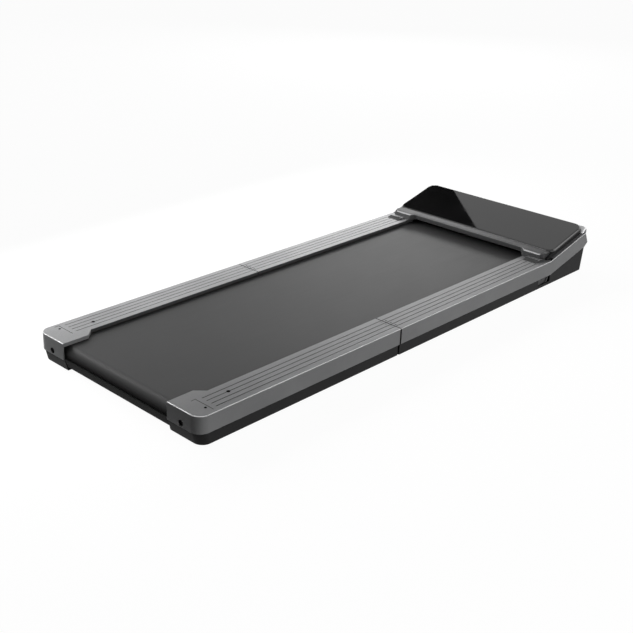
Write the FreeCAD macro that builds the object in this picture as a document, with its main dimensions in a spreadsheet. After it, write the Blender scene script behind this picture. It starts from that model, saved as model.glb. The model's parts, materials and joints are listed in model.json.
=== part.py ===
import FreeCAD, Part
import math
import os
from types import SimpleNamespace

import Sketcher

# A folding walking pad: +X points to the motor hood, +Y to the left side, +Z up.
# The origin is on the floor, at the middle of the pad's length and width.

doc = FreeCAD.newDocument("WalkingPad")

# Driving dimensions in millimetres
DIMENSIONS = {
    # Whole pad
    "length_total": 1432,
    "height_total": 129,
    "rail_top": 69,
    "fold_to_tail": 612,
    "cut_overrun": 5,
    # Base pans and feet
    "foot_height": 1,
    "foot_radius": 14,
    "foot_side_inset": 58,
    "foot_nose_inset": 86,
    "foot_tail_inset": 76,
    "foot_fold_inset": 34,
    "pan_wall": 2.5,
    "pan_side_inset": 2.6,
    "pan_tail_inset": 9,
    "pan_nose_inset": 22,
    "pan_tuck": 4,
    "pan_split": 2,
    # Rail covers
    "cover_wall": 2.5,
    "cover_height": 40,
    "cover_edge_radius": 2,
    "rail_width": 76,
    "lip_height": 8.5,
    "tail_width": 96,
    "tail_block_length": 68,
    "tail_flare_length": 21,
    "tail_corner_radius": 26,
    # Lines and holes in the covers
    "groove_pitch": 14.2,
    "groove_width": 1.8,
    "groove_depth": 0.8,
    "groove_tail_margin": 60,
    "hook_inset": 48,
    "hook_length": 55,
    "hook_width": 1.4,
    "hook_reach": 12,
    "hook_depth": 0.6,
    "screw_inset": 40,
    "screw_offset": 12,
    "screw_radius": 2.4,
    "screw_depth": 1.4,
    "screw_recess": 0.7,
    "groove_screw_inset": 118,
    "groove_screw_radius": 1.6,
    "bolt_hole_radius": 6.8,
    # Fold hinges
    "pivot_depth": 3,
    "fold_gap": 5,
    "split_top": 2.4,
    "split_side": 5.4,
    "link_width": 5,
    "ear_width": 2.8,
    "link_play": 0.2,
    "eye_play": 0.4,
    "pin_radius": 1.6,
    "pin_play": 0.05,
    "leaf_length": 40,
    "leaf_play": 0.2,
    # Frame and deck
    "beam_width": 30,
    "beam_wall": 2,
    "beam_drop": 8.5,
    "beam_nose_inset": 200,
    "beam_tail_inset": 10,
    "beam_notch_length": 14,
    "beam_notch_height": 17,
    "cross_width": 30,
    "cross_wall": 1.5,
    "cross_play": 1.5,
    "deck_thickness": 15,
    "deck_side_gap": 0.5,
    "deck_fold_gap": 12,
    "deck_roller_gap": 10,
    "cushion_thickness": 3,
    "cushion_length": 24,
    "cushion_width": 40,
    "cushion_pitch": 150,
    # Running belt and rollers
    "belt_width": 415,
    "belt_tuck": 10,
    "belt_thickness": 2,
    "belt_drop": 10,
    "belt_to_beam": 5.5,
    "roller_radius": 18.5,
    "roller_play": 0.3,
    "roller_end_gap": 3,
    "roller_wall": 3,
    "roller_plug_length": 16,
    "tail_roller_inset": 27,
    "drive_roller_inset": 168,
    "shaft_play": 0.05,
    # Tail axle and tension bolts
    "axle_radius": 6,
    "axle_reach": 13,
    "axle_slot_play": 0.3,
    "take_up_forward": 6,
    "take_up_back": 2,
    "bolt_radius": 3,
    "bolt_length": 40,
    "bolt_head_radius": 4.6,
    "bolt_head_length": 6,
    "bolt_socket_radius": 2.4,
    "bolt_socket_depth": 3.5,
    "bolt_offset": 6.5,
    "bolt_wall_play": 0.2,
    "crossbar_gap": 2.5,
    "crossbar_top": 33,
    "crossbar_bottom": 10,
    "crossbar_inset": 1.5,
    "crossbar_length": 40,
    "crossbar_side_gap": 1,
    # Drive roller, motor and drive belt
    "shaft_radius": 8,
    "bearing_thickness": 8,
    "bearing_length": 36,
    "bearing_rise": 16,
    "pulley_radius": 26,
    "pulley_width": 14,
    "pulley_gap": 4,
    "motor_inset": 76,
    "motor_floor_gap": 12.5,
    "motor_roof_gap": 7.75,
    "motor_length": 180,
    "motor_offset": 60,
    "motor_bore": 50,
    "motor_wall": 8,
    "motor_end_length": 30,
    "motor_shaft_radius": 6,
    "motor_pulley_radius": 13,
    "bracket_length": 60,
    "bracket_width": 120,
    "bracket_drop": 12,
    "drive_belt_width": 10,
    "drive_belt_thickness": 3,
    # Hood and display
    "kink_inset": 183,
    "nose_top_inset": 16,
    "nose_tip_rise": 10,
    "nose_bottom_inset": 13,
    "hood_wall": 3.2,
    "lip_inset": 191,
    "lip_clearance": 4,
    "lip_rise": 17,
    "lip_round": 4,
    "arm_inset": 200,
    "arm_drop": 0.5,
    "arm_side_inset": 18,
    "arm_corner_radius": 9,
    "arm_slant": 7,
    "shoe_length": 16,
    "shoe_height": 4.4,
    "shoe_inner_margin": 16,
    "shoe_outer_margin": 18,
    "bumper_length": 17,
    "slab_low_inset": 168,
    "slab_low_rise": 20,
    "slab_nose_depth": 19.5,
    "slab_high_inset": 11,
    "slab_side_inset": 11,
    "slab_corner_radius": 20,
    "slab_back_radius": 26,
    "slab_edge_radius": 6,
    "slab_wall": 16,
    "slab_roof": 2.5,
    "lens_thickness": 7,
    "cheek_gap": 0.5,
    "cheek_inset": 189,
    "cheek_rise": 4,
    "back_gap": 0.3,
    "back_thickness": 4.5,
    "back_rise": 12.5,
    "back_side_inset": 5.5,
    "back_radius": 10,
    "back_sink": 1,
    "display_board_length": 60,
    "display_board_width": 120,
    "display_board_inset": 116,
    "board_thickness": 2,
    # Controller
    "controller_inset": 136,
    "controller_length": 80,
    "controller_side": 58.5,
    "controller_width": 110,
    "sink_base": 5,
    "fin_height": 12,
    "fin_thickness": 2.5,
    "fin_pitch": 13,
    # Power inlet and switch in the front wall
    "inlet_side": 120,
    "inlet_width": 30,
    "inlet_height": 24,
    "inlet_depth": 30,
    "inlet_level": 32,
    "inlet_front_inset": 18,
    "socket_wall": 3,
    "socket_depth": 16,
    "switch_side": 66,
    "switch_width": 26,
    "rocker_radius": 8,
    "rocker_play": 0.3,
    "rocker_proud": 3,
    "rocker_dip": 3,
    "rocker_pivot_radius": 1.5,
    "rocker_pivot_length": 2,
    # Transport wheels
    "wheel_radius": 25,
    "wheel_width": 21,
    "wheel_inset": 207,
    "wheel_ground_gap": 0.5,
    "wheel_beam_gap": 3,
    "wheel_axle_radius": 4,
    "wheel_axle_end": 1,
    "wheel_recess_depth": 3,
    "wheel_rim": 5,
    "wheel_hub_radius": 7,
    "arch_gap": 3,
    "arch_sill": 8,
}

# Number of parallel grooves along each rail, and of hinge links between them
GROOVES = 4
LINKS = GROOVES - 1
FINS = 8

# Half height of the rocker's hollow face, as a share of its depth
ROCKER_SHARE = 2.6

# How near counts as the same place, as a share of the pad's length
SAME_PLACE_SHARE = 1e-6

# Places of the cross members along a deck, as shares of its length
CROSS_SHARES = (0.06, 0.5, 0.94)


class Size:
    """A length together with the sheet formula that gives it."""

    def __init__(self, value, formula):
        self.value = float(value)
        self.formula = formula

    def joined(self, sign, other, value):
        return Size(value, f"({self.formula} {sign} {as_size(other).formula})")

    def __add__(self, other):
        return self.joined("+", other, self.value + as_size(other).value)

    def __sub__(self, other):
        return self.joined("-", other, self.value - as_size(other).value)

    def __mul__(self, other):
        return self.joined("*", other, self.value * as_size(other).value)

    def __truediv__(self, other):
        return self.joined("/", other, self.value / as_size(other).value)

    def __radd__(self, other):
        return as_size(other) + self

    def __rsub__(self, other):
        return as_size(other) - self

    def __rmul__(self, other):
        return as_size(other) * self

    def __neg__(self):
        return Size(-self.value, f"(-1 * {self.formula})")


def as_size(number):
    """A Size stays as it is; a plain number becomes one."""
    if isinstance(number, Size):
        return number
    return Size(number, repr(float(number)))


def make_sheet():
    """Put the driving dimensions into a sheet, one aliased cell each."""
    sheet = doc.addObject("Spreadsheet::Sheet", "Dims")
    for row, (name, value) in enumerate(DIMENSIONS.items(), start=1):
        sheet.set(f"A{row}", name)
        sheet.set(f"B{row}", str(value))
        sheet.setAlias(f"B{row}", name)
    doc.recompute()
    return SimpleNamespace(**{name: Size(sheet.get(name), f"Dims.{name}") for name in DIMENSIONS})


D = make_sheet()
nodes = []


def bind(item, **sizes):
    """Tie properties of a document object to sheet formulas."""
    for name, size in sizes.items():
        item.setExpression(name, as_size(size).formula)


def place(item, corner):
    """Tie the position of a document object to sheet formulas."""
    for axis, size in zip("xyz", corner):
        item.setExpression(f".Placement.Base.{axis}", as_size(size).formula)


def keep(item):
    """Mark a document object as a finished piece."""
    nodes.append(item)
    return item


# Solids from primitives

def box(label, low, high):
    """A box between two opposite corners."""
    item = doc.addObject("Part::Box", label)
    bind(item, Length=high[0] - low[0], Width=high[1] - low[1], Height=high[2] - low[2])
    place(item, low)
    return item


AXIS_TURNS = {
    "X": FreeCAD.Rotation(FreeCAD.Vector(0, 1, 0), 90),
    "Y": FreeCAD.Rotation(FreeCAD.Vector(1, 0, 0), -90),
    "Z": FreeCAD.Rotation(),
}


def rod(label, axis, radius, start, length):
    """A cylinder from a start point along +X, +Y or +Z."""
    item = doc.addObject("Part::Cylinder", label)
    item.Placement = FreeCAD.Placement(FreeCAD.Vector(), AXIS_TURNS[axis])
    bind(item, Radius=radius, Height=length)
    place(item, start)
    return item


def fuse(label, pieces):
    """One solid from pieces that overlap or touch."""
    item = doc.addObject("Part::MultiFuse", label)
    item.Shapes = pieces
    item.Refine = True
    return item


def group(label, pieces):
    """Several like pieces kept as separate solids."""
    item = doc.addObject("Part::Compound", label)
    item.Links = pieces
    return item


def common(label, pieces):
    """What all the pieces share."""
    item = doc.addObject("Part::MultiCommon", label)
    item.Shapes = pieces
    return item


def cut(label, base, tools):
    """The base without its tools; each tool has to take something away."""
    tool = tools[0] if len(tools) == 1 else fuse(label + "_tools", tools)
    item = doc.addObject("Part::Cut", label)
    item.Base = base
    item.Tool = tool
    item.Refine = True
    doc.recompute()
    if not item.Shape.Volume < base.Shape.Volume:
        raise ValueError(f"{label}: the cut takes nothing away")
    return item


# Bodies from sketches

def corner_arc(before, corner, after, radius):
    """Tangent points and centre of a round corner between two edges that are square to each other."""
    ends = []
    centre = list(corner)
    for other in (before, after):
        gaps = [other[axis].value - corner[axis].value for axis in (0, 1)]
        axis = 0 if abs(gaps[0]) > abs(gaps[1]) else 1
        end = list(corner)
        end[axis] = corner[axis] + radius * math.copysign(1, gaps[axis])
        centre[axis] = end[axis]
        ends.append(end)
    return ends[0], ends[1], centre


def outline_points(loop):
    """The loop's vertices in order, with each round corner as its two ends, radius and centre."""
    steps = []
    for index, point in enumerate(loop):
        point = [as_size(value) for value in point]
        if len(point) == 2:
            steps.append((point, None, None))
            continue
        before = [as_size(value) for value in loop[index - 1][:2]]
        after = [as_size(value) for value in loop[(index + 1) % len(loop)][:2]]
        first, last, centre = corner_arc(before, point[:2], after, point[2])
        steps.append((first, point[2], centre))
        steps.append((last, None, None))
    return steps


def flat(point):
    """A sketch point as a vector."""
    return FreeCAD.Vector(point[0].value, point[1].value, 0)


def pin_point(sketch, geometry, end, point):
    """Hold one end of a sketch edge at its named place."""
    for kind, size in zip(("DistanceX", "DistanceY"), point):
        index = sketch.addConstraint(Sketcher.Constraint(kind, -1, 1, geometry, end, size.value))
        sketch.setExpression(f"Constraints[{index}]", size.formula)


def hold_radius(sketch, geometry, radius):
    """Hold the radius of a sketch arc or circle."""
    index = sketch.addConstraint(Sketcher.Constraint("Radius", geometry, radius.value))
    sketch.setExpression(f"Constraints[{index}]", radius.formula)


def draw_loop(sketch, loop):
    """Draw a closed loop of straight edges and round corners."""
    steps = outline_points(loop)
    edges = []
    for index, (first, radius, centre) in enumerate(steps):
        last = steps[(index + 1) % len(steps)][0]
        if radius is None:
            geometry = sketch.addGeometry(Part.LineSegment(flat(first), flat(last)))
            edges.append((geometry, 1, 2, first, None))
            continue
        arms = [flat(end) - flat(centre) for end in (first, last)]
        turns_left = arms[0].x * arms[1].y - arms[0].y * arms[1].x > 0
        angles = [math.atan2(arm.y, arm.x) for arm in (arms if turns_left else arms[::-1])]
        circle = Part.Circle(flat(centre), FreeCAD.Vector(0, 0, 1), radius.value)
        geometry = sketch.addGeometry(Part.ArcOfCircle(circle, *angles))
        edges.append((geometry, 1, 2, first, radius) if turns_left else (geometry, 2, 1, first, radius))
    for index, (geometry, start, end, first, radius) in enumerate(edges):
        following = edges[(index + 1) % len(edges)]
        sketch.addConstraint(Sketcher.Constraint("Coincident", geometry, end, following[0], following[1]))
        pin_point(sketch, geometry, start, first)
        if radius is not None:
            hold_radius(sketch, geometry, radius)


def draw_disc(sketch, centre, radius):
    """Draw a full circle."""
    centre = [as_size(value) for value in centre]
    circle = Part.Circle(flat(centre), FreeCAD.Vector(0, 0, 1), radius.value)
    geometry = sketch.addGeometry(circle)
    pin_point(sketch, geometry, 3, centre)
    hold_radius(sketch, geometry, radius)


def sketch_on(body, label, plane, level, loops, discs):
    """A sketch on one of the body's own planes, moved along the plane's normal to a level."""
    sketch = body.newObject("Sketcher::SketchObject", label)
    planes = {feature.Role: feature for feature in body.Origin.OriginFeatures}
    sketch.AttachmentSupport = [(planes[plane + "_Plane"], "")]
    sketch.MapMode = "FlatFace"
    offset = -as_size(level) if plane == "XZ" else as_size(level)
    sketch.setExpression(".AttachmentOffset.Base.z", offset.formula)
    for loop in loops:
        draw_loop(sketch, loop)
    for centre, radius in discs:
        draw_disc(sketch, centre, radius)
    return sketch


def pad(label, plane, loops, start, end, body=None):
    """A body, or more of one, between two levels along the plane's axis."""
    if body is None:
        body = doc.addObject("PartDesign::Body", label)
    level = end if plane == "XZ" else start
    sketch = sketch_on(body, label + "_outline", plane, level, loops, ())
    feature = body.newObject("PartDesign::Pad", label + "_pad")
    feature.Profile = sketch
    bind(feature, Length=as_size(end) - start)
    doc.recompute()
    return body


def pocket(body, label, plane, start, end, loops=(), discs=()):
    """Take outlines out of a body between two levels along the plane's axis."""
    before = body.Shape.Volume
    level = start if plane == "XZ" else end
    sketch = sketch_on(body, label + "_outline", plane, level, loops, discs)
    feature = body.newObject("PartDesign::Pocket", label)
    feature.Profile = sketch
    bind(feature, Length=as_size(end) - start)
    doc.recompute()
    if not body.Shape.Volume < before:
        raise ValueError(f"{label}: the pocket takes nothing away")


def round_edges(body, label, radius, chosen):
    """Round the body's edges that a test chooses."""
    base = body.Tip
    names = [f"Edge{index}" for index, edge in enumerate(base.Shape.Edges, start=1) if chosen(edge)]
    if not names:
        raise ValueError(f"{label}: no edge to round")
    feature = body.newObject("PartDesign::Fillet", label)
    feature.Base = (base, names)
    bind(feature, Radius=radius)
    doc.recompute()


def rectangle(low, high):
    """A rectangular loop between two opposite corners."""
    return [(low[0], low[1]), (high[0], low[1]), (high[0], high[1]), (low[0], high[1])]


def span(side, near, far):
    """Start and end across the pad of a stretch on the left (+1) or right (-1) side."""
    return (as_size(near), as_size(far)) if side > 0 else (-as_size(far), -as_size(near))


def on_plane(edge, axis, size):
    """True where the whole edge lies at one coordinate."""
    points = [vertex.Point for vertex in edge.Vertexes] + [edge.CenterOfMass]
    return all(abs(getattr(point, axis) - size.value) < same_place.value for point in points)


SIDES = {"left": 1, "right": -1}
over = D.cut_overrun
same_place = D.length_total * SAME_PLACE_SHARE

# Main places along, across and above the floor
tail_x = -D.length_total / 2
nose_x = D.length_total / 2
fold_x = tail_x + D.fold_to_tail
belt_half = D.belt_width / 2
rail_inner = belt_half - D.belt_tuck
half_width = rail_inner + D.rail_width
rail_middle = half_width - D.rail_width / 2
cover_inner = half_width - D.cover_wall
cover_bottom = D.rail_top - D.cover_height
cover_under = D.rail_top - D.cover_wall
lip_bottom = D.rail_top - D.lip_height
pan_bottom = D.foot_height
pan_floor = pan_bottom + D.pan_wall
pan_top = cover_bottom + D.pan_tuck
pan_foot_side = half_width - D.pan_side_inset
beam_top = D.rail_top - D.beam_drop
beam_inner = belt_half + D.belt_to_beam
beam_outer = beam_inner + D.beam_width
belt_top = D.rail_top - D.belt_drop
deck_top = belt_top - D.belt_thickness
deck_bottom = deck_top - D.deck_thickness
cross_top = deck_bottom - D.cushion_thickness
roller_z = deck_top - D.roller_radius
cross_bottom = roller_z - D.roller_radius + D.cross_play
tail_roller_x = tail_x + D.tail_roller_inset
drive_roller_x = nose_x - D.drive_roller_inset
kink_x = nose_x - D.kink_inset
nose_top_x = nose_x - D.nose_top_inset
nose_top_z = D.height_total - D.slab_nose_depth
nose_tip_z = D.rail_top + D.nose_tip_rise
nose_bottom_x = nose_x - D.nose_bottom_inset
hood_slope = (nose_top_z - D.rail_top) / (nose_top_x - kink_x)
arm_x = nose_x - D.arm_inset
shoe_x = arm_x - D.shoe_length
bumper_x = shoe_x - D.bumper_length

# Places of the fold hinges
pivot_z = D.rail_top - D.pivot_depth
pivot_reach = D.pivot_depth + D.fold_gap / 2
hinge_width = D.link_width + D.link_play * 2 + D.ear_width * 2
eye_radius = D.pivot_depth
hinge_reach = pivot_reach + eye_radius + D.eye_play


def hood_z(x):
    """Height of the hood's sloping top plane."""
    return D.rail_top + hood_slope * (x - kink_x)


def row_across(count, index):
    """Distance from the rail's middle of one of a row of grooves or links."""
    return D.groove_pitch * (index - (count - 1) / 2)


def hinge_middles(side):
    """Places across the pad of one rail's hinge links, one between each two grooves."""
    return [(rail_middle + row_across(LINKS, index)) * side for index in range(LINKS)]


def hinge_windows(side, toward):
    """Windows in a cover's top at the fold, one for each hinge."""
    ends = sorted((fold_x, fold_x + hinge_reach * toward), key=lambda size: size.value)
    return [rectangle((ends[0], middle - hinge_width / 2 - D.link_play),
                      (ends[1], middle + hinge_width / 2 + D.link_play)) for middle in hinge_middles(side)]


def groove_loops(side, start, end):
    """The parallel grooves along one rail."""
    middles = [(rail_middle + row_across(GROOVES, index)) * side for index in range(GROOVES)]
    half = D.groove_width / 2
    return [rectangle((start, middle - half), (end, middle + half)) for middle in middles]


# Rear half of the frame and covers

def rear_cover(name, side):
    """Hollow rail cover with a wide rounded tail, open below and at the fold."""
    label = f"rear_cover_{name}"
    end_x = fold_x - D.split_top / 2
    block_x = tail_x + D.tail_block_length
    flare_x = block_x + D.tail_flare_length
    tail_inner = half_width - D.tail_width
    corner = D.tail_corner_radius
    outline = [(tail_x, tail_inner * side), (block_x, tail_inner * side), (flare_x, rail_inner * side),
               (end_x, rail_inner * side), (end_x, half_width * side), (tail_x, half_width * side, corner)]
    body = pad(label, "XY", [outline], cover_bottom, D.rail_top)
    round_edges(body, label + "_rounding", D.cover_edge_radius,
                lambda edge: on_plane(edge, "z", D.rail_top) and not on_plane(edge, "x", end_x)
                and abs(edge.CenterOfMass.y) > rail_inner.value + D.cover_wall.value)
    inside_x = tail_x + D.cover_wall
    inside_corner = corner - D.cover_wall
    hollow = [(inside_x, (tail_inner - over) * side), (end_x + over, (tail_inner - over) * side),
              (end_x + over, cover_inner * side), (inside_x, cover_inner * side, inside_corner)]
    pocket(body, label + "_hollow", "XY", cover_bottom - over, lip_bottom, [hollow])
    wall = D.cover_wall
    roof = [(inside_x, (tail_inner + wall) * side), (block_x, (tail_inner + wall) * side),
            (flare_x, (rail_inner + wall) * side), (end_x + over, (rail_inner + wall) * side),
            (end_x + over, cover_inner * side), (inside_x, cover_inner * side, inside_corner)]
    pocket(body, label + "_roof", "XY", lip_bottom - over, cover_under, [roof])
    pocket(body, label + "_grooves", "XY", D.rail_top - D.groove_depth, D.rail_top + over,
           groove_loops(side, tail_x + D.groove_tail_margin, end_x + over))
    pocket(body, label + "_hook", "XY", D.rail_top - D.hook_depth, D.rail_top + over, [hook_loop(side)])
    pocket(body, label + "_screw_seat", "XY", D.rail_top - D.screw_depth, D.rail_top + over,
           discs=[(screw_place(side), D.screw_radius), (groove_screw_place(side), D.groove_screw_radius)])
    pocket(body, label + "_bolt_hole", "YZ", tail_x - over, inside_x + over,
           discs=[(((beam_inner + D.bolt_offset) * side, roller_z), D.bolt_hole_radius)])
    pocket(body, label + "_hinge_windows", "XY", lip_bottom, D.rail_top + over, hinge_windows(side, -1))
    side_wall = span(side, cover_inner - over / 2, half_width + over)
    split = rectangle((fold_x - D.split_side / 2, cover_bottom - over), (end_x + over, cover_under))
    pocket(body, label + "_side_split", "XZ", *side_wall, [split])
    return keep(body)


def screw_place(side):
    """Place of the cover screw on a tail block."""
    return tail_x + D.screw_inset, (rail_middle + D.screw_offset) * side


def groove_screw_place(side):
    """Place of the small screw in the second groove from the belt."""
    return tail_x + D.groove_screw_inset, (rail_middle + row_across(GROOVES, 1)) * side


def hook_loop(side):
    """Engraved line across a tail block, with a hook at its left end on both rails."""
    line_x = tail_x + D.hook_inset
    right_y = rail_middle * side - D.hook_length / 2
    left_y = rail_middle * side + D.hook_length / 2
    wide = D.hook_width
    tip_x = line_x - D.hook_reach
    return [(line_x, right_y), (line_x, left_y), (tip_x, left_y), (tip_x, left_y - wide),
            (line_x - wide, left_y - wide), (line_x - wide, right_y)]


def cover_screws(side):
    """The two screws of one rear cover, a little below its top."""
    screws = []
    for name, place_xy, radius in (("large", screw_place(side), D.screw_radius),
                                   ("small", groove_screw_place(side), D.groove_screw_radius)):
        start = (*place_xy, D.rail_top - D.screw_depth)
        screws.append(rod(f"screw_{name}_{'left' if side > 0 else 'right'}", "Z", radius, start,
                          D.screw_depth - D.screw_recess))
    return screws


def tube_beam(label, side, start_x, end_x, closed_tail):
    """Rectangular tube along one side, standing on the pan."""
    low_y, high_y = span(side, beam_inner, beam_outer)
    wall = D.beam_wall
    outer = box(label + "_outer", (start_x, low_y, pan_floor), (end_x, high_y, beam_top))
    hollow_start = start_x + wall if closed_tail else start_x - over
    hollow = box(label + "_hollow", (hollow_start, low_y + wall, pan_floor + wall),
                 (end_x + over, high_y - wall, beam_top - wall))
    return outer, hollow


def rear_beam(name, side):
    """Rear side beam: its closed end seats the tension bolt and its inner wall guides the axle."""
    label = f"rear_beam_{name}"
    start_x = tail_x + D.beam_tail_inset
    outer, hollow = tube_beam(label, side, start_x, fold_x - D.split_top / 2, True)
    slot_y = span(side, beam_inner - over, beam_inner + D.beam_wall + over / 2)
    slot_half = D.axle_radius + D.axle_slot_play
    slot_start = tail_roller_x - D.take_up_back - slot_half
    slot_end = tail_roller_x + D.take_up_forward + slot_half
    slot = box(label + "_slot", (slot_start, slot_y[0], roller_z - slot_half),
               (slot_end, slot_y[1], roller_z + slot_half))
    hole = rod(label + "_bolt_hole", "X", D.bolt_radius + D.bolt_wall_play,
               (start_x - over, (beam_inner + D.bolt_offset) * side, roller_z), D.beam_wall + over * 2)
    notch_y = span(side, beam_inner - over, beam_outer + over)
    notch = box(label + "_notch", (start_x - over, notch_y[0], pan_floor - over),
                (start_x + D.beam_notch_length, notch_y[1], pan_floor + D.beam_notch_height))
    return keep(cut(label, outer, [hollow, slot, hole, notch]))


def front_beam(name, side):
    """Front side beam, from the fold to just behind the drive roller."""
    label = f"front_beam_{name}"
    outer, hollow = tube_beam(label, side, fold_x + D.split_top / 2, nose_x - D.beam_nose_inset, False)
    return keep(cut(label, outer, [hollow]))


def deck(label, start_x, end_x):
    """Deck board that the belt slides on, with its cross members and rubber cushions."""
    half = beam_inner - D.deck_side_gap
    keep(box(label + "_deck", (start_x, -half, deck_bottom), (end_x, half, deck_top)))
    members = []
    cushions = []
    for index, share in enumerate(CROSS_SHARES):
        middle_x = start_x + (end_x - start_x) * share
        members.append(cross_member(f"{label}_cross_{index}", middle_x))
        for row in (-1, 0, 1):
            middle_y = D.cushion_pitch * row
            low = (middle_x - D.cushion_length / 2, middle_y - D.cushion_width / 2, cross_top)
            high = (middle_x + D.cushion_length / 2, middle_y + D.cushion_width / 2, deck_bottom)
            cushions.append(box(f"{label}_cushion_{index}_{row + 1}", low, high))
    keep(group(label + "_cross_members", members))
    keep(group(label + "_cushions", cushions))


def cross_member(label, middle_x):
    """Flat tube between the side beams, inside the belt's loop."""
    wall = D.cross_wall
    low_x = middle_x - D.cross_width / 2
    high_x = middle_x + D.cross_width / 2
    outer = box(label + "_outer", (low_x, -beam_inner, cross_bottom), (high_x, beam_inner, cross_top))
    hollow = box(label + "_hollow", (low_x + wall, -beam_inner - over, cross_bottom + wall),
                 (high_x - wall, beam_inner + over, cross_top - wall))
    return cut(label, outer, [hollow])


# Base pans

def pan_section(label, start_x, end_x, inset, top):
    """Full-width solid with sides that lean in toward the floor."""
    foot = pan_foot_side - inset
    shoulder = cover_inner - inset
    bottom = pan_bottom + inset
    section = [(-foot, bottom), (foot, bottom), (shoulder, cover_bottom), (shoulder, top),
               (-shoulder, top), (-shoulder, cover_bottom)]
    return pad(label, "YZ", [section], start_x, end_x)


def rear_pan():
    """Tray under the rear half, open toward the fold and behind the tail roller."""
    label = "rear_pan"
    end_x = fold_x - D.pan_split / 2
    shell = []
    for part, inset, lift in (("outer", 0, 0), ("inner", D.pan_wall, over)):
        part_label = f"{label}_{part}"
        top = pan_top + lift
        reach_x = end_x + lift
        bottom = pan_bottom + inset
        wall_x = tail_x + D.cover_wall + inset
        foot_x = tail_x + D.pan_tail_inset + inset
        corner = D.tail_corner_radius - D.cover_wall - inset
        shoulder = cover_inner - inset
        profile = [(reach_x, bottom), (foot_x, bottom), (wall_x, cover_bottom), (wall_x, top),
                   (reach_x, top)]
        plan = [(reach_x, -shoulder), (wall_x, -shoulder, corner), (wall_x, shoulder, corner),
                (reach_x, shoulder)]
        pieces = [pan_section(part_label + "_section", tail_x, reach_x, inset, top),
                  pad(part_label + "_profile", "XZ", [profile], -half_width, half_width),
                  pad(part_label + "_plan", "XY", [plan], pan_bottom - over, top + over)]
        shell.append(common(part_label, pieces))
    gap_half = half_width - D.tail_width - D.crossbar_side_gap
    gap = box(label + "_gap", (tail_x - over, -gap_half, pan_bottom - over),
              (tail_x + D.crossbar_length, gap_half, pan_top + over))
    keep(cut(label, shell[0], [shell[1], gap]))


def tail_crossbar():
    """Bar across the tail below the belt, hollowed to clear the belt's bend."""
    label = "tail_crossbar"
    half = half_width - D.tail_width - D.crossbar_side_gap
    back_x = tail_x + D.crossbar_inset
    profile = [(back_x, D.crossbar_top), (tail_x + D.pan_tail_inset, D.crossbar_bottom),
               (tail_x + D.crossbar_length, pan_bottom), (tail_x + D.crossbar_length, pan_floor),
               (tail_roller_x, D.crossbar_top)]
    bar = pad(label + "_bar", "XZ", [profile], -half, half)
    clear = rod(label + "_clear", "Y", D.roller_radius + D.belt_thickness + D.crossbar_gap,
                (tail_roller_x, -half - over, roller_z), half * 2 + over * 2)
    keep(cut(label, bar, [clear]))


def front_pan():
    """Tray under the front half, deepening into the motor bay, with a slot and an arch for each wheel."""
    label = "front_pan"
    start_x = fold_x + D.pan_split / 2
    band_slope = D.cover_height / (nose_bottom_x - kink_x)
    tuck_run = D.pan_tuck / band_slope
    shell = []
    for part, inset, lift in (("outer", 0, 0), ("inner", D.pan_wall, over)):
        part_label = f"{label}_{part}"
        bottom = pan_bottom + inset
        front_x = nose_x - D.pan_nose_inset - inset
        top_x = nose_bottom_x - inset
        low_x = start_x - lift
        top = D.rail_top + lift
        lean = (top_x - front_x) / (D.rail_top - bottom)
        profile = [(low_x, bottom), (front_x, bottom), (top_x + lean * lift, top),
                   (nose_bottom_x - tuck_run, top), (kink_x, pan_top + lift), (low_x, pan_top + lift)]
        pieces = [pan_section(part_label + "_section", low_x, nose_x, inset, top),
                  pad(part_label + "_profile", "XZ", [profile], -half_width, half_width)]
        shell.append(common(part_label, pieces))
    cuts = [shell[1], front_opening(label + "_inlet_hole", D.inlet_side, D.inlet_width),
            front_opening(label + "_switch_hole", D.switch_side, D.switch_width)]
    for name, side in SIDES.items():
        reach = D.wheel_radius + D.arch_gap
        low_y, high_y = span(side, beam_outer + D.wheel_beam_gap / 2, wheel_far + D.wheel_axle_end)
        cuts.append(box(f"{label}_slot_{name}", (wheel_x - reach, low_y, pan_bottom - over),
                        (wheel_x + reach, high_y, pan_top + over)))
        low_y, high_y = span(side, wheel_far, half_width + over)
        cuts.append(box(f"{label}_arch_{name}", (wheel_x - reach, low_y, pan_bottom + D.arch_sill),
                        (wheel_x + reach, high_y, pan_top + over)))
    keep(cut(label, shell[0], cuts))


def front_opening(label, side_y, width):
    """Rectangular tool for a fitting in the front wall."""
    return box(label, (inlet_back_x, -side_y - width / 2, D.inlet_level - D.inlet_height / 2),
               (nose_x, -side_y + width / 2, D.inlet_level + D.inlet_height / 2))


def foot(label, x, side):
    """Round rubber foot under a pan."""
    keep(rod(label, "Z", D.foot_radius, (x, (half_width - D.foot_side_inset) * side, 0), D.foot_height))


# Front covers, hood and display

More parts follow.
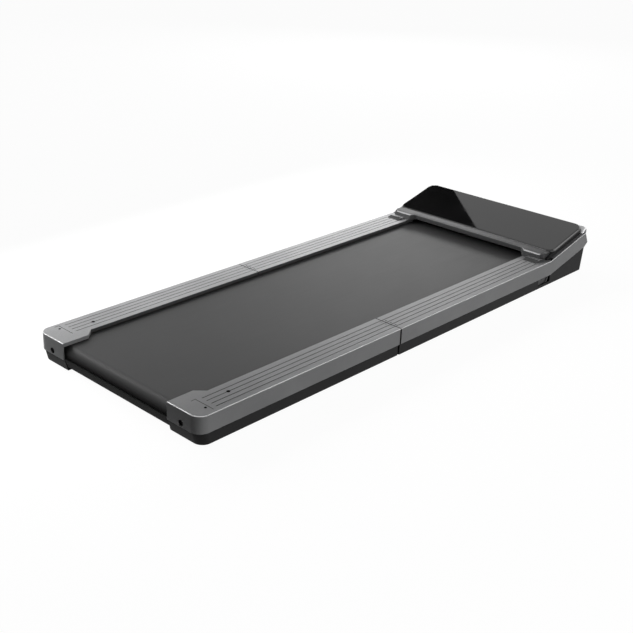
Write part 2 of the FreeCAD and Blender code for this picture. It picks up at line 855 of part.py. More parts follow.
def front_cover(name, side):
    """Rail cover from the fold to the kink, then a slanted band beside the hood."""
    label = f"front_cover_{name}"
    start_x = fold_x + D.split_top / 2
    profile = [(start_x, cover_bottom), (kink_x, cover_bottom), (nose_bottom_x, D.rail_top),
               (nose_x, nose_tip_z), (nose_top_x, nose_top_z), (kink_x, D.rail_top), (start_x, D.rail_top)]
    body = pad(label, "XZ", [profile], *span(side, rail_inner, half_width))
    round_edges(body, label + "_rounding", D.cover_edge_radius,
                lambda edge: on_plane(edge, "y", half_width * side) and not on_plane(edge, "x", start_x)
                and edge.CenterOfMass.z > cover_under.value)
    band = rectangle((kink_x, cover_bottom - over), (nose_x + over, nose_top_z + over))
    pocket(body, label + "_band", "XZ", *span(side, rail_inner - over, cover_inner), [band])
    hollow = rectangle((start_x - over, cover_bottom - over), (kink_x + over, cover_under))
    pocket(body, label + "_hollow", "XZ", *span(side, rail_inner + D.cover_wall, cover_inner), [hollow])
    below_lip = rectangle((start_x - over, cover_bottom - over), (kink_x + over, lip_bottom))
    lip_wall = span(side, rail_inner - over, rail_inner + D.cover_wall + over)
    pocket(body, label + "_below_lip", "XZ", *lip_wall, [below_lip])
    pocket(body, label + "_grooves", "XY", D.rail_top - D.groove_depth, D.rail_top + over,
           groove_loops(side, start_x - over, bumper_x))
    pocket(body, label + "_hinge_windows", "XY", lip_bottom, D.rail_top + over, hinge_windows(side, 1))
    split = rectangle((start_x - over, cover_bottom - over), (fold_x + D.split_side / 2, cover_under))
    side_wall = span(side, cover_inner - over / 2, half_width + over)
    pocket(body, label + "_side_split", "XZ", *side_wall, [split])
    return keep(body)


def hood_back(label):
    """Upright plate on the nose, behind the slab's high end."""
    nose_drop = (nose_top_z - nose_tip_z) / (nose_x - nose_top_x)
    ends = [nose_x - D.slab_high_inset + D.back_gap]
    ends.append(ends[0] + D.back_thickness)
    top = nose_top_z + D.back_rise
    half = half_width - D.back_side_inset
    profile = [(x, nose_top_z - nose_drop * (x - nose_top_x) - D.back_sink) for x in ends]
    profile += [(x, top) for x in ends[::-1]]
    body = pad(label, "XZ", [profile], -half, half)
    round_edges(body, label + "_corners", D.back_radius,
                lambda edge: on_plane(edge, "z", top)
                and any(on_plane(edge, "y", half * side) for side in SIDES.values()))
    return body


def hood():
    """Silver hood: sloping plate, folded nose, back plate, lip across the belt, and arms on the rails."""
    label = "hood_shell"
    lip_x = nose_x - D.lip_inset
    slab_x = nose_x - D.slab_low_inset
    lip_low = D.rail_top + D.lip_clearance
    lip_top = D.rail_top + D.lip_rise
    wall = D.hood_wall
    profile = [(lip_x, lip_low), (lip_x, lip_top), (slab_x, lip_top + D.arm_drop), (slab_x, hood_z(slab_x)),
               (nose_top_x, nose_top_z), (nose_x, nose_tip_z), (nose_bottom_x, D.rail_top),
               (nose_bottom_x - wall, D.rail_top), (nose_x - wall, nose_tip_z),
               (nose_top_x - wall, hood_z(nose_top_x) - wall), (slab_x, hood_z(slab_x) - wall)]
    arm_outer = half_width - D.arm_side_inset
    plate = pad(label + "_plate", "XZ", [profile], -cover_inner, cover_inner)
    for name, side in SIDES.items():
        trim = [(lip_x - over, D.rail_top - over), (slab_x, hood_z(slab_x) - wall),
                (slab_x, lip_top + D.arm_drop + over), (lip_x - over, lip_top + over)]
        pocket(plate, f"{label}_lip_end_{name}", "XZ", *span(side, arm_outer, cover_inner + over), [trim])
    round_edges(plate, label + "_lip_round", D.lip_round,
                lambda edge: on_plane(edge, "x", lip_x) and on_plane(edge, "z", lip_top))
    pieces = [plate, hood_back(label + "_back")]
    arm_top = lip_top - D.arm_drop
    for name, side in SIDES.items():
        slanted = [(arm_x - D.arm_slant, D.rail_top), (kink_x, D.rail_top), (kink_x, arm_top), (arm_x, arm_top)]
        arm = pad(f"{label}_arm_{name}", "XZ", [slanted], *span(side, rail_inner, arm_outer))
        round_edges(arm, f"{label}_arm_corner_{name}", D.arm_corner_radius,
                    lambda edge: on_plane(edge, "y", arm_outer * side) and not on_plane(edge, "x", kink_x)
                    and not on_plane(edge, "z", D.rail_top) and not on_plane(edge, "z", arm_top))
        round_edges(arm, f"{label}_arm_round_{name}", D.lip_round,
                    lambda edge: on_plane(edge, "z", arm_top) and not on_plane(edge, "x", kink_x)
                    and not on_plane(edge, "y", rail_inner * side))
        low_y, high_y = span(side, rail_inner + D.shoe_inner_margin, half_width - D.shoe_outer_margin)
        shoe = box(f"{label}_shoe_{name}", (shoe_x, low_y, D.rail_top),
                   (kink_x, high_y, D.rail_top + D.shoe_height))
        pieces += [arm, shoe]
    keep(fuse(label, pieces))


def bumper(name, side):
    """Rubber ramp on the rail that the folded rear half comes to rest over."""
    low_y, high_y = span(side, rail_inner + D.shoe_inner_margin, half_width - D.shoe_outer_margin)
    ramp = [(bumper_x, D.rail_top), (shoe_x, D.rail_top), (shoe_x, D.rail_top + D.shoe_height)]
    keep(pad(f"bumper_{name}", "XZ", [ramp], low_y, high_y))


def display():
    """Dark slab on the hood with cheeks down to the rails and a glossy lens on top, and the display board."""
    low_x = nose_x - D.slab_low_inset
    high_x = nose_x - D.slab_high_inset
    low_z = D.rail_top + D.slab_low_rise
    half = half_width - D.slab_side_inset
    lens = D.lens_thickness
    slope = (D.height_total - low_z) / (high_x - low_x)

    def slab_corner(edge, x):
        """True for an upright edge at a side of the slab's low or high end."""
        return any(on_plane(edge, "y", half * side) for side in SIDES.values()) and on_plane(edge, "x", x)

    def round_corners(body, label):
        """Round the slab's four upright edges, more at the high end."""
        round_edges(body, label + "_corners", D.slab_corner_radius, lambda edge: slab_corner(edge, low_x))
        round_edges(body, label + "_back_corners", D.slab_back_radius, lambda edge: slab_corner(edge, high_x))

    def lens_rim(edge):
        """True for an edge in the lens's sloping top."""
        middle = edge.CenterOfMass
        return abs(low_z.value + slope.value * (middle.x - low_x.value) - middle.z) < same_place.value

    housing = [(low_x, hood_z(low_x)), (nose_top_x, nose_top_z), (high_x, nose_top_z),
               (high_x, D.height_total - lens), (low_x, low_z - lens)]
    body = pad("display_housing", "XZ", [housing], -half, half)
    round_corners(body, "display_housing")
    wall = D.slab_wall
    hollow_ends = (low_x + wall, nose_top_x - wall)
    hollow = [(x, hood_z(x) - over) for x in hollow_ends]
    hollow += [(x, low_z - lens - D.slab_roof + slope * (x - low_x)) for x in hollow_ends[::-1]]
    pocket(body, "display_housing_hollow", "XZ", -half + wall, half - wall, [hollow])
    cheek_x = nose_x - D.cheek_inset
    back_x = low_x + D.slab_corner_radius
    cheek = [(cheek_x, D.rail_top), (low_x, D.rail_top), (low_x, hood_z(low_x)), (back_x, hood_z(back_x)),
             (back_x, low_z - lens + slope * (back_x - low_x)), (low_x, low_z - lens),
             (cheek_x, D.rail_top + D.cheek_rise)]
    for name, side in SIDES.items():
        near = half_width - D.arm_side_inset + D.cheek_gap
        pad(f"display_housing_cheek_{name}", "XZ", [cheek], *span(side, near, half), body=body)
    keep(body)
    cover = [(low_x, low_z - lens), (high_x, D.height_total - lens), (high_x, D.height_total),
             (low_x, low_z)]
    body = pad("display_lens", "XZ", [cover], -half, half)
    round_corners(body, "display_lens")
    round_edges(body, "display_lens_rim", D.slab_edge_radius, lens_rim)
    keep(body)
    board_x = nose_x - D.display_board_inset
    end_x = board_x + D.display_board_length
    board = [(board_x, hood_z(board_x) - D.hood_wall), (end_x, hood_z(end_x) - D.hood_wall),
             (end_x, hood_z(end_x) - D.hood_wall - D.board_thickness),
             (board_x, hood_z(board_x) - D.hood_wall - D.board_thickness)]
    keep(pad("display_board", "XZ", [board], -D.display_board_width / 2, D.display_board_width / 2))


# Fold hinges

def hinge_leaf(label, name, side, toward):
    """Steel leaf on a beam, with ears that hold the link pins flush with the rail's top."""
    pivot_x = fold_x + pivot_reach * toward
    end_x = fold_x + D.split_top / 2 * toward
    far_x = fold_x + D.leaf_length * toward
    ends = sorted((end_x, far_x), key=lambda size: size.value)
    half = hinge_width / 2
    first, last = (rail_middle + row_across(LINKS, index) for index in (0, LINKS - 1))
    low_y, high_y = span(side, first - half, last + half)
    plate = box(label + "_plate", (ends[0], low_y, beam_top), (ends[1], high_y, cover_under - D.leaf_play))
    pieces = [plate]
    cuts = []
    slot_half = D.link_width / 2 + D.link_play
    slot_ends = sorted((fold_x, fold_x + hinge_reach * toward), key=lambda size: size.value)
    for index, middle in enumerate(hinge_middles(side)):
        pieces.append(rod(f"{label}_ear_{index}", "Y", eye_radius, (pivot_x, middle - half, pivot_z),
                          hinge_width))
        cuts.append(rod(f"{label}_bore_{index}", "Y", D.pin_radius,
                        (pivot_x, middle - half - over / 4, pivot_z), hinge_width + over / 2))
        cuts.append(box(f"{label}_slot_{index}",
                        (slot_ends[0], middle - slot_half, pivot_z - eye_radius - D.eye_play),
                        (slot_ends[1], middle + slot_half, D.rail_top + over)))
    keep(cut(f"{label}_{name}", fuse(label + "_" + name + "_blank", pieces), cuts))


def hinge_pins(label, toward):
    """Short pins of one half's hinges, pressed into the ears."""
    pins = []
    pivot_x = fold_x + pivot_reach * toward
    for name, side in SIDES.items():
        for index, middle in enumerate(hinge_middles(side)):
            pins.append(rod(f"{label}_{name}_{index}", "Y", D.pin_radius,
                            (pivot_x, middle - hinge_width / 2, pivot_z), hinge_width))
    keep(group(label, pins))


def fold_links(name, side):
    """Flush links of one rail, each on one pin of the front leaf and one of the rear leaf."""
    links = []
    for index, middle in enumerate(hinge_middles(side)):
        label = f"fold_link_{name}_{index}"
        low_y = middle - D.link_width / 2
        pieces = [box(label + "_bar", (fold_x - pivot_reach, low_y, pivot_z - eye_radius),
                      (fold_x + pivot_reach, low_y + D.link_width, pivot_z + eye_radius))]
        bores = []
        for end in (-1, 1):
            pivot_x = fold_x + pivot_reach * end
            pieces.append(rod(f"{label}_eye_{end + 1}", "Y", eye_radius, (pivot_x, low_y, pivot_z),
                              D.link_width))
            bores.append(rod(f"{label}_bore_{end + 1}", "Y", D.pin_radius + D.pin_play,
                             (pivot_x, low_y - over, pivot_z), D.link_width + over * 2))
        links.append(cut(label, fuse(label + "_blank", pieces), bores))
    keep(group(f"fold_links_{name}", links))


# Running belt and rollers

def loop_solid(label, radius, half):
    """Solid inside a belt line round both rollers."""
    pieces = [box(label + "_middle", (tail_roller_x, -half, roller_z - radius),
                  (drive_roller_x, half, roller_z + radius))]
    for end, x in (("tail", tail_roller_x), ("front", drive_roller_x)):
        pieces.append(rod(f"{label}_{end}", "Y", radius, (x, -half, roller_z), half * 2))
    return fuse(label, pieces)


def running_belt():
    """Closed running belt."""
    outer = loop_solid("running_belt_outer", D.roller_radius + D.belt_thickness, belt_half)
    inner = loop_solid("running_belt_inner", D.roller_radius, belt_half + over)
    keep(cut("running_belt", outer, [inner]))


def roller_hollow(label, x):
    """Space inside a roller's tube, between its end plugs."""
    half = beam_inner - D.roller_end_gap - D.roller_plug_length
    return rod(label, "Y", D.roller_radius - D.roller_play - D.roller_wall, (x, -half, roller_z), half * 2)


def tail_roller():
    """Tail roller on its axle, which the tension bolts move along slots in the beams."""
    roller_half = beam_inner - D.roller_end_gap
    axle_half = beam_inner + D.axle_reach
    drum = rod("tail_roller_drum", "Y", D.roller_radius - D.roller_play,
               (tail_roller_x, -roller_half, roller_z), roller_half * 2)
    bore = rod("tail_roller_bore", "Y", D.axle_radius + D.shaft_play,
               (tail_roller_x, -roller_half - over, roller_z), roller_half * 2 + over * 2)
    keep(cut("tail_roller", drum, [bore, roller_hollow("tail_roller_hollow", tail_roller_x)]))
    bar = rod("tail_axle_bar", "Y", D.axle_radius, (tail_roller_x, -axle_half, roller_z), axle_half * 2)
    holes = []
    hole_x = tail_roller_x - D.axle_radius - over
    for name, side in SIDES.items():
        holes.append(rod(f"tail_axle_hole_{name}", "X", D.bolt_radius + D.shaft_play,
                         (hole_x, (beam_inner + D.bolt_offset) * side, roller_z),
                         D.axle_radius * 2 + over * 2))
    keep(cut("tail_axle", bar, holes))


def tension_bolt(name, side):
    """Socket-head bolt through the beam's closed end and the axle."""
    label = f"tension_bolt_{name}"
    seat_x = tail_x + D.beam_tail_inset
    y = (beam_inner + D.bolt_offset) * side
    head_x = seat_x - D.bolt_head_length
    shank = rod(label + "_shank", "X", D.bolt_radius, (seat_x, y, roller_z), D.bolt_length)
    head = rod(label + "_head", "X", D.bolt_head_radius, (head_x, y, roller_z), D.bolt_head_length)
    socket = doc.addObject("Part::Prism", label + "_socket")
    socket.Polygon = 6
    socket.Placement = FreeCAD.Placement(FreeCAD.Vector(), AXIS_TURNS["X"])
    bind(socket, Circumradius=D.bolt_socket_radius, Height=D.bolt_socket_depth + over)
    place(socket, (head_x - over, y, roller_z))
    keep(cut(label, fuse(label + "_blank", [head, shank]), [socket]))


pulley_y = beam_inner + D.bearing_thickness + D.pulley_gap
pulley_end = pulley_y + D.pulley_width
motor_x = nose_x - D.motor_inset
motor_bottom = pan_floor + D.motor_floor_gap
motor_radius = (hood_z(motor_x) - D.hood_wall - D.motor_roof_gap - motor_bottom) / 2
motor_z = motor_bottom + motor_radius


def drive_roller():
    """Drive roller, its shaft with the driven pulley, and two bearing blocks."""
    roller_half = beam_inner - D.roller_end_gap
    shaft_low = -beam_inner - D.bearing_thickness
    drum = rod("drive_roller_drum", "Y", D.roller_radius - D.roller_play,
               (drive_roller_x, -roller_half, roller_z), roller_half * 2)
    bore = rod("drive_roller_bore", "Y", D.shaft_radius, (drive_roller_x, -roller_half - over, roller_z),
               roller_half * 2 + over * 2)
    keep(cut("drive_roller", drum, [bore, roller_hollow("drive_roller_hollow", drive_roller_x)]))
    shaft = rod("drive_shaft", "Y", D.shaft_radius, (drive_roller_x, shaft_low, roller_z),
                pulley_end - shaft_low)
    wheel = rod("drive_pulley_disc", "Y", D.pulley_radius, (drive_roller_x, pulley_y, roller_z),
                D.pulley_width)
    keep(fuse("drive_pulley", [shaft, wheel]))
    for name, side in SIDES.items():
        label = f"drive_bearing_{name}"
        low_y, high_y = span(side, beam_inner, beam_inner + D.bearing_thickness)
        block = box(label + "_block", (drive_roller_x - D.bearing_length / 2, low_y, pan_floor),
                    (drive_roller_x + D.bearing_length / 2, high_y, roller_z + D.bearing_rise))
        bore = rod(label + "_bore", "Y", D.shaft_radius + D.shaft_play,
                   (drive_roller_x, low_y - over, roller_z), D.bearing_thickness + over * 2)
        keep(cut(label, block, [bore]))


def motor():
    """Motor in a saddle on the pan, with a rotor that ends in a small pulley."""
    start_y = D.motor_offset - D.motor_length / 2
    end_y = D.motor_offset + D.motor_length / 2
    can = rod("motor_can", "Y", motor_radius, (motor_x, start_y, motor_z), D.motor_length)
    shaft_y = end_y - D.motor_bore
    bore = rod("motor_bore_tool", "Y", D.motor_shaft_radius + D.shaft_play,
               (motor_x, shaft_y, motor_z), D.motor_bore + over)
    hollow = rod("motor_hollow", "Y", motor_radius - D.motor_wall,
                 (motor_x, start_y + D.motor_wall, motor_z),
                 D.motor_length - D.motor_wall - D.motor_end_length)
    keep(cut("motor_body", can, [bore, hollow]))
    half_length = D.bracket_length / 2
    half_breadth = D.bracket_width / 2
    block = box("motor_bracket_block", (motor_x - half_length, D.motor_offset - half_breadth, pan_floor),
                (motor_x + half_length, D.motor_offset + half_breadth, motor_z - D.bracket_drop))
    saddle = rod("motor_bracket_saddle", "Y", motor_radius,
                 (motor_x, D.motor_offset - D.bracket_width, motor_z), D.bracket_width * 2)
    keep(cut("motor_bracket", block, [saddle]))
    shaft = rod("motor_shaft", "Y", D.motor_shaft_radius, (motor_x, shaft_y, motor_z),
                pulley_end - shaft_y)
    wheel = rod("motor_pulley", "Y", D.motor_pulley_radius, (motor_x, pulley_y, motor_z),
                D.pulley_width)
    keep(fuse("motor_rotor", [shaft, wheel]))


def drive_belt():
    """Flat ribbed belt round both pulleys, as a closed band along their common tangents."""
    big = FreeCAD.Vector(drive_roller_x.value, 0, roller_z.value)
    small = FreeCAD.Vector(motor_x.value, 0, motor_z.value)
    along = small - big
    heading = math.atan2(along.z, along.x)
    lean = math.acos((D.pulley_radius.value - D.motor_pulley_radius.value) / along.Length)
    faces = []
    for offset in (D.roller_play.value + D.drive_belt_thickness.value, D.roller_play.value):
        def rim(centre, radius, angle):
            """Point on a circle round a pulley's axis."""
            reach = radius.value + offset
            return centre + FreeCAD.Vector(math.cos(angle), 0, math.sin(angle)) * reach

        up, down = heading + lean, heading - lean
        big_arc = Part.Arc(rim(big, D.pulley_radius, up), rim(big, D.pulley_radius, heading + math.pi),
                           rim(big, D.pulley_radius, down))
        small_arc = Part.Arc(rim(small, D.motor_pulley_radius, down),
                             rim(small, D.motor_pulley_radius, heading),
                             rim(small, D.motor_pulley_radius, up))
        lower = Part.LineSegment(rim(big, D.pulley_radius, down), rim(small, D.motor_pulley_radius, down))
        upper = Part.LineSegment(rim(small, D.motor_pulley_radius, up), rim(big, D.pulley_radius, up))
        wire = Part.Wire([curve.toShape() for curve in (big_arc, lower, small_arc, upper)])
        faces.append(Part.Face(wire))
    band = faces[0].cut(faces[1]).extrude(FreeCAD.Vector(0, D.drive_belt_width.value, 0))
    item = doc.addObject("Part::Feature", "drive_belt")
    item.Shape = band.Solids[0]
    item.Placement = FreeCAD.Placement()
    place(item, (0, pulley_y + (D.pulley_width - D.drive_belt_width) / 2, 0))
    keep(item)


# Electrics

inlet_front_x = nose_x - D.inlet_front_inset
inlet_back_x = inlet_front_x - D.inlet_depth


def power_inlet():
    """Mains inlet: a block in the front wall with an open socket."""
    label = "power_inlet"
    half = D.inlet_width / 2
    low = (inlet_back_x, -D.inlet_side - half, D.inlet_level - D.inlet_height / 2)
    high = (inlet_front_x, -D.inlet_side + half, D.inlet_level + D.inlet_height / 2)
    wall = D.socket_wall
    block = box(label + "_block", low, high)
    socket = box(label + "_socket", (inlet_front_x - D.socket_depth, low[1] + wall, low[2] + wall),
                 (inlet_front_x + over, high[1] - wall, high[2] - wall))
    keep(cut(label, block, [socket]))


def power_switch():
    """Rocker switch: a frame in the front wall and a rocker on two short pivots."""
    half = D.switch_width / 2
    pivot_x = inlet_front_x + D.rocker_proud - D.rocker_radius
    low = (inlet_back_x, -D.switch_side - half, D.inlet_level - D.inlet_height / 2)
    high = (inlet_front_x, -D.switch_side + half, D.inlet_level + D.inlet_height / 2)
    wall = D.socket_wall
    block = box("switch_frame_block", low, high)
    well_start = low[1] + wall
    well_length = D.switch_width - wall * 2
    well = rod("switch_frame_well", "Y", D.rocker_radius + D.rocker_play,
               (pivot_x, well_start, D.inlet_level), well_length)
    pivot_hole = rod("switch_frame_pivot", "Y", D.rocker_pivot_radius + D.shaft_play,
                     (pivot_x, well_start - D.rocker_pivot_length, D.inlet_level),
                     well_length + D.rocker_pivot_length * 2)
    keep(cut("switch_frame", block, [well, pivot_hole]))
    play = D.rocker_play
    drum = rod("power_rocker_drum", "Y", D.rocker_radius, (pivot_x, well_start + play, D.inlet_level),
               well_length - play * 2)
    dip_x = pivot_x + D.rocker_radius - D.rocker_dip
    face_x = pivot_x + D.rocker_radius + over
    rise = D.rocker_dip + over
    dip = pad("power_rocker_dip", "XZ",
              [[(dip_x, D.inlet_level), (face_x, D.inlet_level - rise * ROCKER_SHARE),
                (face_x, D.inlet_level + rise * ROCKER_SHARE)]], low[1], high[1])
    pivot = rod("power_rocker_pivot", "Y", D.rocker_pivot_radius,
                (pivot_x, well_start - D.rocker_pivot_length + play, D.inlet_level),
                well_length + (D.rocker_pivot_length - play) * 2)
    keep(fuse("power_rocker", [cut("power_rocker_body", drum, [dip]), pivot]))


def controller():
    """Controller board on the pan, under a finned heat sink."""
    low_x = nose_x - D.controller_inset
    high_x = low_x + D.controller_length
    low_y = D.controller_side - half_width
    high_y = low_y + D.controller_width
    board_top = pan_floor + D.board_thickness
    fin_bottom = board_top + D.sink_base
    keep(box("controller_board", (low_x, low_y, pan_floor), (high_x, high_y, board_top)))
    pieces = [box("sink_plate", (low_x, low_y, board_top), (high_x, high_y, fin_bottom))]
    for index in range(FINS):
        fin_y = low_y + D.fin_pitch * index
        pieces.append(box(f"sink_fin_{index}", (low_x, fin_y, fin_bottom),
                          (high_x, fin_y + D.fin_thickness, fin_bottom + D.fin_height)))
    keep(fuse("controller_heatsink", pieces))


# Transport wheels

wheel_x = nose_x - D.wheel_inset
wheel_z = D.wheel_ground_gap + D.wheel_radius
wheel_near = beam_outer + D.wheel_beam_gap
wheel_far = wheel_near + D.wheel_width


def transport_wheel(name, side):
    """Wheel in the arch beside the beam, on an axle fixed to the beam."""
    label = f"transport_wheel_{name}"
    near = wheel_near
    far = wheel_far
    low_y, high_y = span(side, near, far)
    disc = rod(label + "_disc", "Y", D.wheel_radius, (wheel_x, low_y, wheel_z), D.wheel_width)
    bore = rod(label + "_bore", "Y", D.wheel_axle_radius + D.shaft_play, (wheel_x, low_y - over, wheel_z),
               D.wheel_width + over * 2)
    dish_y = span(side, far - D.wheel_recess_depth, far + over)
    dish = rod(label + "_dish", "Y", D.wheel_radius - D.wheel_rim, (wheel_x, dish_y[0], wheel_z),
               dish_y[1] - dish_y[0])
    hub_y = span(side, far - D.wheel_recess_depth - over / 2, far)
    hub = rod(label + "_hub", "Y", D.wheel_hub_radius, (wheel_x, hub_y[0], wheel_z), hub_y[1] - hub_y[0])
    ring = cut(label + "_ring", dish, [hub])
    keep(cut(label, disc, [bore, ring]))
    axle_y = span(side, beam_outer, far + D.wheel_axle_end)
    return rod(f"wheel_axle_{name}", "Y", D.wheel_axle_radius, (wheel_x, axle_y[0], wheel_z),
               axle_y[1] - axle_y[0])


def build():
    """Make every piece of the pad."""
    axles = []
    screws = []
    for name, side in SIDES.items():
        rear_cover(name, side)
        front_cover(name, side)
        rear_beam(name, side)
        front_beam(name, side)
        hinge_leaf("hinge_leaf_rear", name, side, -1)
        hinge_leaf("hinge_leaf_front", name, side, 1)
        fold_links(name, side)
        bumper(name, side)
        tension_bolt(name, side)
        foot(f"foot_nose_{name}", nose_x - D.foot_nose_inset, side)
        foot(f"foot_fold_{name}", fold_x + D.foot_fold_inset, side)
        foot(f"foot_tail_{name}", tail_x + D.foot_tail_inset, side)
        axles.append(transport_wheel(name, side))
        screws += cover_screws(side)
    keep(group("wheel_axles", axles))
    keep(group("cover_screws", screws))
    hinge_pins("hinge_pins_rear", -1)
    hinge_pins("hinge_pins_front", 1)
    deck("rear", tail_roller_x + D.roller_radius + D.deck_roller_gap, fold_x - D.deck_fold_gap)
    deck("front", fold_x + D.deck_fold_gap, drive_roller_x - D.roller_radius - D.deck_roller_gap)
    rear_pan()
    tail_crossbar()
    front_pan()
    hood()
    display()
    running_belt()
    tail_roller()
    drive_roller()
    motor()
    drive_belt()
    power_inlet()
    power_switch()
    controller()


def check():
    """Stop if any object failed or any piece is not a sound solid."""
    doc.recompute()
    for item in doc.Objects:
        if {"Invalid", "Error"} & set(item.State):
            raise ValueError(f"{item.Label}: {item.State}")
    for item in nodes:
        if item.Shape.isNull() or not item.Shape.isValid() or not item.Shape.Solids:
            raise ValueError(f"{item.Label}: no sound solid")


def export():
    """Write each piece to its own file."""
    os.makedirs("parts", exist_ok=True)
    for item in nodes:
        item.Shape.exportStep(os.path.join("parts", item.Label + ".step"))
        solids = item.Shape.Solids
        print(item.Label, len(solids), "solids,", round(sum(solid.Volume for solid in solids)), "mm3")


build()
check()
export()
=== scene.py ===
import json
import math

import bmesh
import bpy
from mathutils import Matrix, Vector

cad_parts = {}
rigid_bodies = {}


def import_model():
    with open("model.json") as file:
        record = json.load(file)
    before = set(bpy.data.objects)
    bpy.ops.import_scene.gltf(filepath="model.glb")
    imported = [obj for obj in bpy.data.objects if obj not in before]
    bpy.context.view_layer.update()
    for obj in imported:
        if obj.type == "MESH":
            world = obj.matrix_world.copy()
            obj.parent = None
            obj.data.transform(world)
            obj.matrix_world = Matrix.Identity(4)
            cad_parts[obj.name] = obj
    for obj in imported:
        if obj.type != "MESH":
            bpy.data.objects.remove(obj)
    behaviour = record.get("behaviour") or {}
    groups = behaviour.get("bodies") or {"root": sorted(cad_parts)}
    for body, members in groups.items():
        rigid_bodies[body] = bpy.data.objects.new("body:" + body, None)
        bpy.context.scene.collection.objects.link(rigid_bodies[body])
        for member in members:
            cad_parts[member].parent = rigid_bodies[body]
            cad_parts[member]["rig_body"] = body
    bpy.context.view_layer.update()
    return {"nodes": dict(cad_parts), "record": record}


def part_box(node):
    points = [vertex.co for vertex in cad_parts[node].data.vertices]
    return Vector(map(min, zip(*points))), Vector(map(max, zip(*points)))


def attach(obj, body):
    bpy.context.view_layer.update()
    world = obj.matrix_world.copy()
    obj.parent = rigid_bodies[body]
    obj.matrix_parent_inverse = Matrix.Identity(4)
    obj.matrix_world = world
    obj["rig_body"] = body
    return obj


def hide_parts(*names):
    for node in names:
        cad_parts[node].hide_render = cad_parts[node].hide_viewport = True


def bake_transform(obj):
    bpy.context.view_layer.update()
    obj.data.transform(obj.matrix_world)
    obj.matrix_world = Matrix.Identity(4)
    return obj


# A folding walking pad on a pale studio floor. Lengths are in metres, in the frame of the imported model:
# +X points to the hood, +Y to the left and +Z up.

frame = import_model()
scene = bpy.context.scene
scene.view_settings.view_transform = "Standard"

SIDES = {"left": 1, "right": -1}
QUARTER_TURN = math.pi / 2


# Node helpers for the procedural materials

class Shader:
    """A material's node tree, built around one principled shader."""

    def __init__(self, name, color, rough, metal=0.0):
        self.material = bpy.data.materials.new(name)
        self.material.use_nodes = True
        self.tree = self.material.node_tree
        self.main = self.tree.nodes["Principled BSDF"]
        self.main.inputs["Base Color"].default_value = (*color, 1)
        self.main.inputs["Roughness"].default_value = rough
        self.main.inputs["Metallic"].default_value = metal
        self.color = color
        self.rough = rough
        self.normal = None
        self.place = self.node("ShaderNodeTexCoord").outputs["Object"]

    def node(self, kind, **inputs):
        """A new node with its inputs set or linked."""
        made = self.tree.nodes.new(kind)
        for name, value in inputs.items():
            self.feed(made.inputs[name.replace("_", " ")], value)
        return made

    def feed(self, socket, value):
        """Link a socket to another node's output, or set it to a constant."""
        if isinstance(value, bpy.types.NodeSocket):
            self.tree.links.new(value, socket)
        else:
            socket.default_value = value

    def math(self, operation, first, second):
        made = self.tree.nodes.new("ShaderNodeMath")
        made.operation = operation
        self.feed(made.inputs[0], first)
        self.feed(made.inputs[1], second)
        return made.outputs[0]

    def weigh(self, first, share, second):
        """The sum of two factors, of which the first has the given share."""
        return self.math("ADD", self.math("MULTIPLY", first, share), self.math("MULTIPLY", second, 1 - share))

    def stretched(self, stretch):
        """Object coordinates with each axis scaled, for streaks and weaves."""
        return self.node("ShaderNodeMapping", Vector=self.place, Scale=stretch).outputs[0]

    def noise(self, scale, detail, rough=0.55, stretch=None):
        vector = self.place if stretch is None else self.stretched(stretch)
        made = self.node("ShaderNodeTexNoise", Vector=vector, Scale=scale, Detail=detail, Roughness=rough)
        return made.outputs["Fac"]

    def spread(self, factor, low, high, start=0.3, end=0.7):
        """A factor mapped onto a range of values."""
        made = self.node("ShaderNodeMapRange", Value=factor, From_Min=start, From_Max=end,
                         To_Min=low, To_Max=high)
        return made.outputs[0]

    def mix(self, factor, first, second):
        """A colour between two colours."""
        made = self.tree.nodes.new("ShaderNodeMix")
        made.data_type = "RGBA"
        self.feed(made.inputs["Factor"], factor)
        for socket, value in zip([s for s in made.inputs if s.type == "RGBA"], (first, second)):
            self.feed(socket, (*value, 1) if isinstance(value, tuple) else value)
        return [s for s in made.outputs if s.type == "RGBA"][0]

    def shade(self, factor, amount, start=0.3, end=0.7):
        """The base colour made darker and lighter by a factor."""
        low = tuple(c * (1 - amount) for c in self.color)
        high = tuple(min(1.0, c * (1 + amount)) for c in self.color)
        return self.mix(self.spread(factor, 0, 1, start, end), low, high)

    def paint(self, color):
        self.feed(self.main.inputs["Base Color"], color)

    def gloss(self, factor, amount, start=0.3, end=0.7):
        """Roughness varied about its base value by a factor."""
        self.feed(self.main.inputs["Roughness"],
                  self.spread(factor, self.rough - amount, self.rough + amount, start, end))

    def bump(self, height, strength, distance):
        """A bump laid over those before it."""
        made = self.node("ShaderNodeBump", Height=height, Strength=strength, Distance=distance)
        if self.normal is not None:
            self.feed(made.inputs["Normal"], self.normal)
        self.normal = made.outputs[0]
        self.feed(self.main.inputs["Normal"], self.normal)

    def attribute(self, name):
        """A face value stored on the mesh."""
        made = self.node("ShaderNodeAttribute")
        made.attribute_name = name
        return made.outputs["Fac"]

    def set(self, **inputs):
        """Constants on the principled shader's own sockets."""
        for name, value in inputs.items():
            self.main.inputs[name.replace("_", " ")].default_value = value


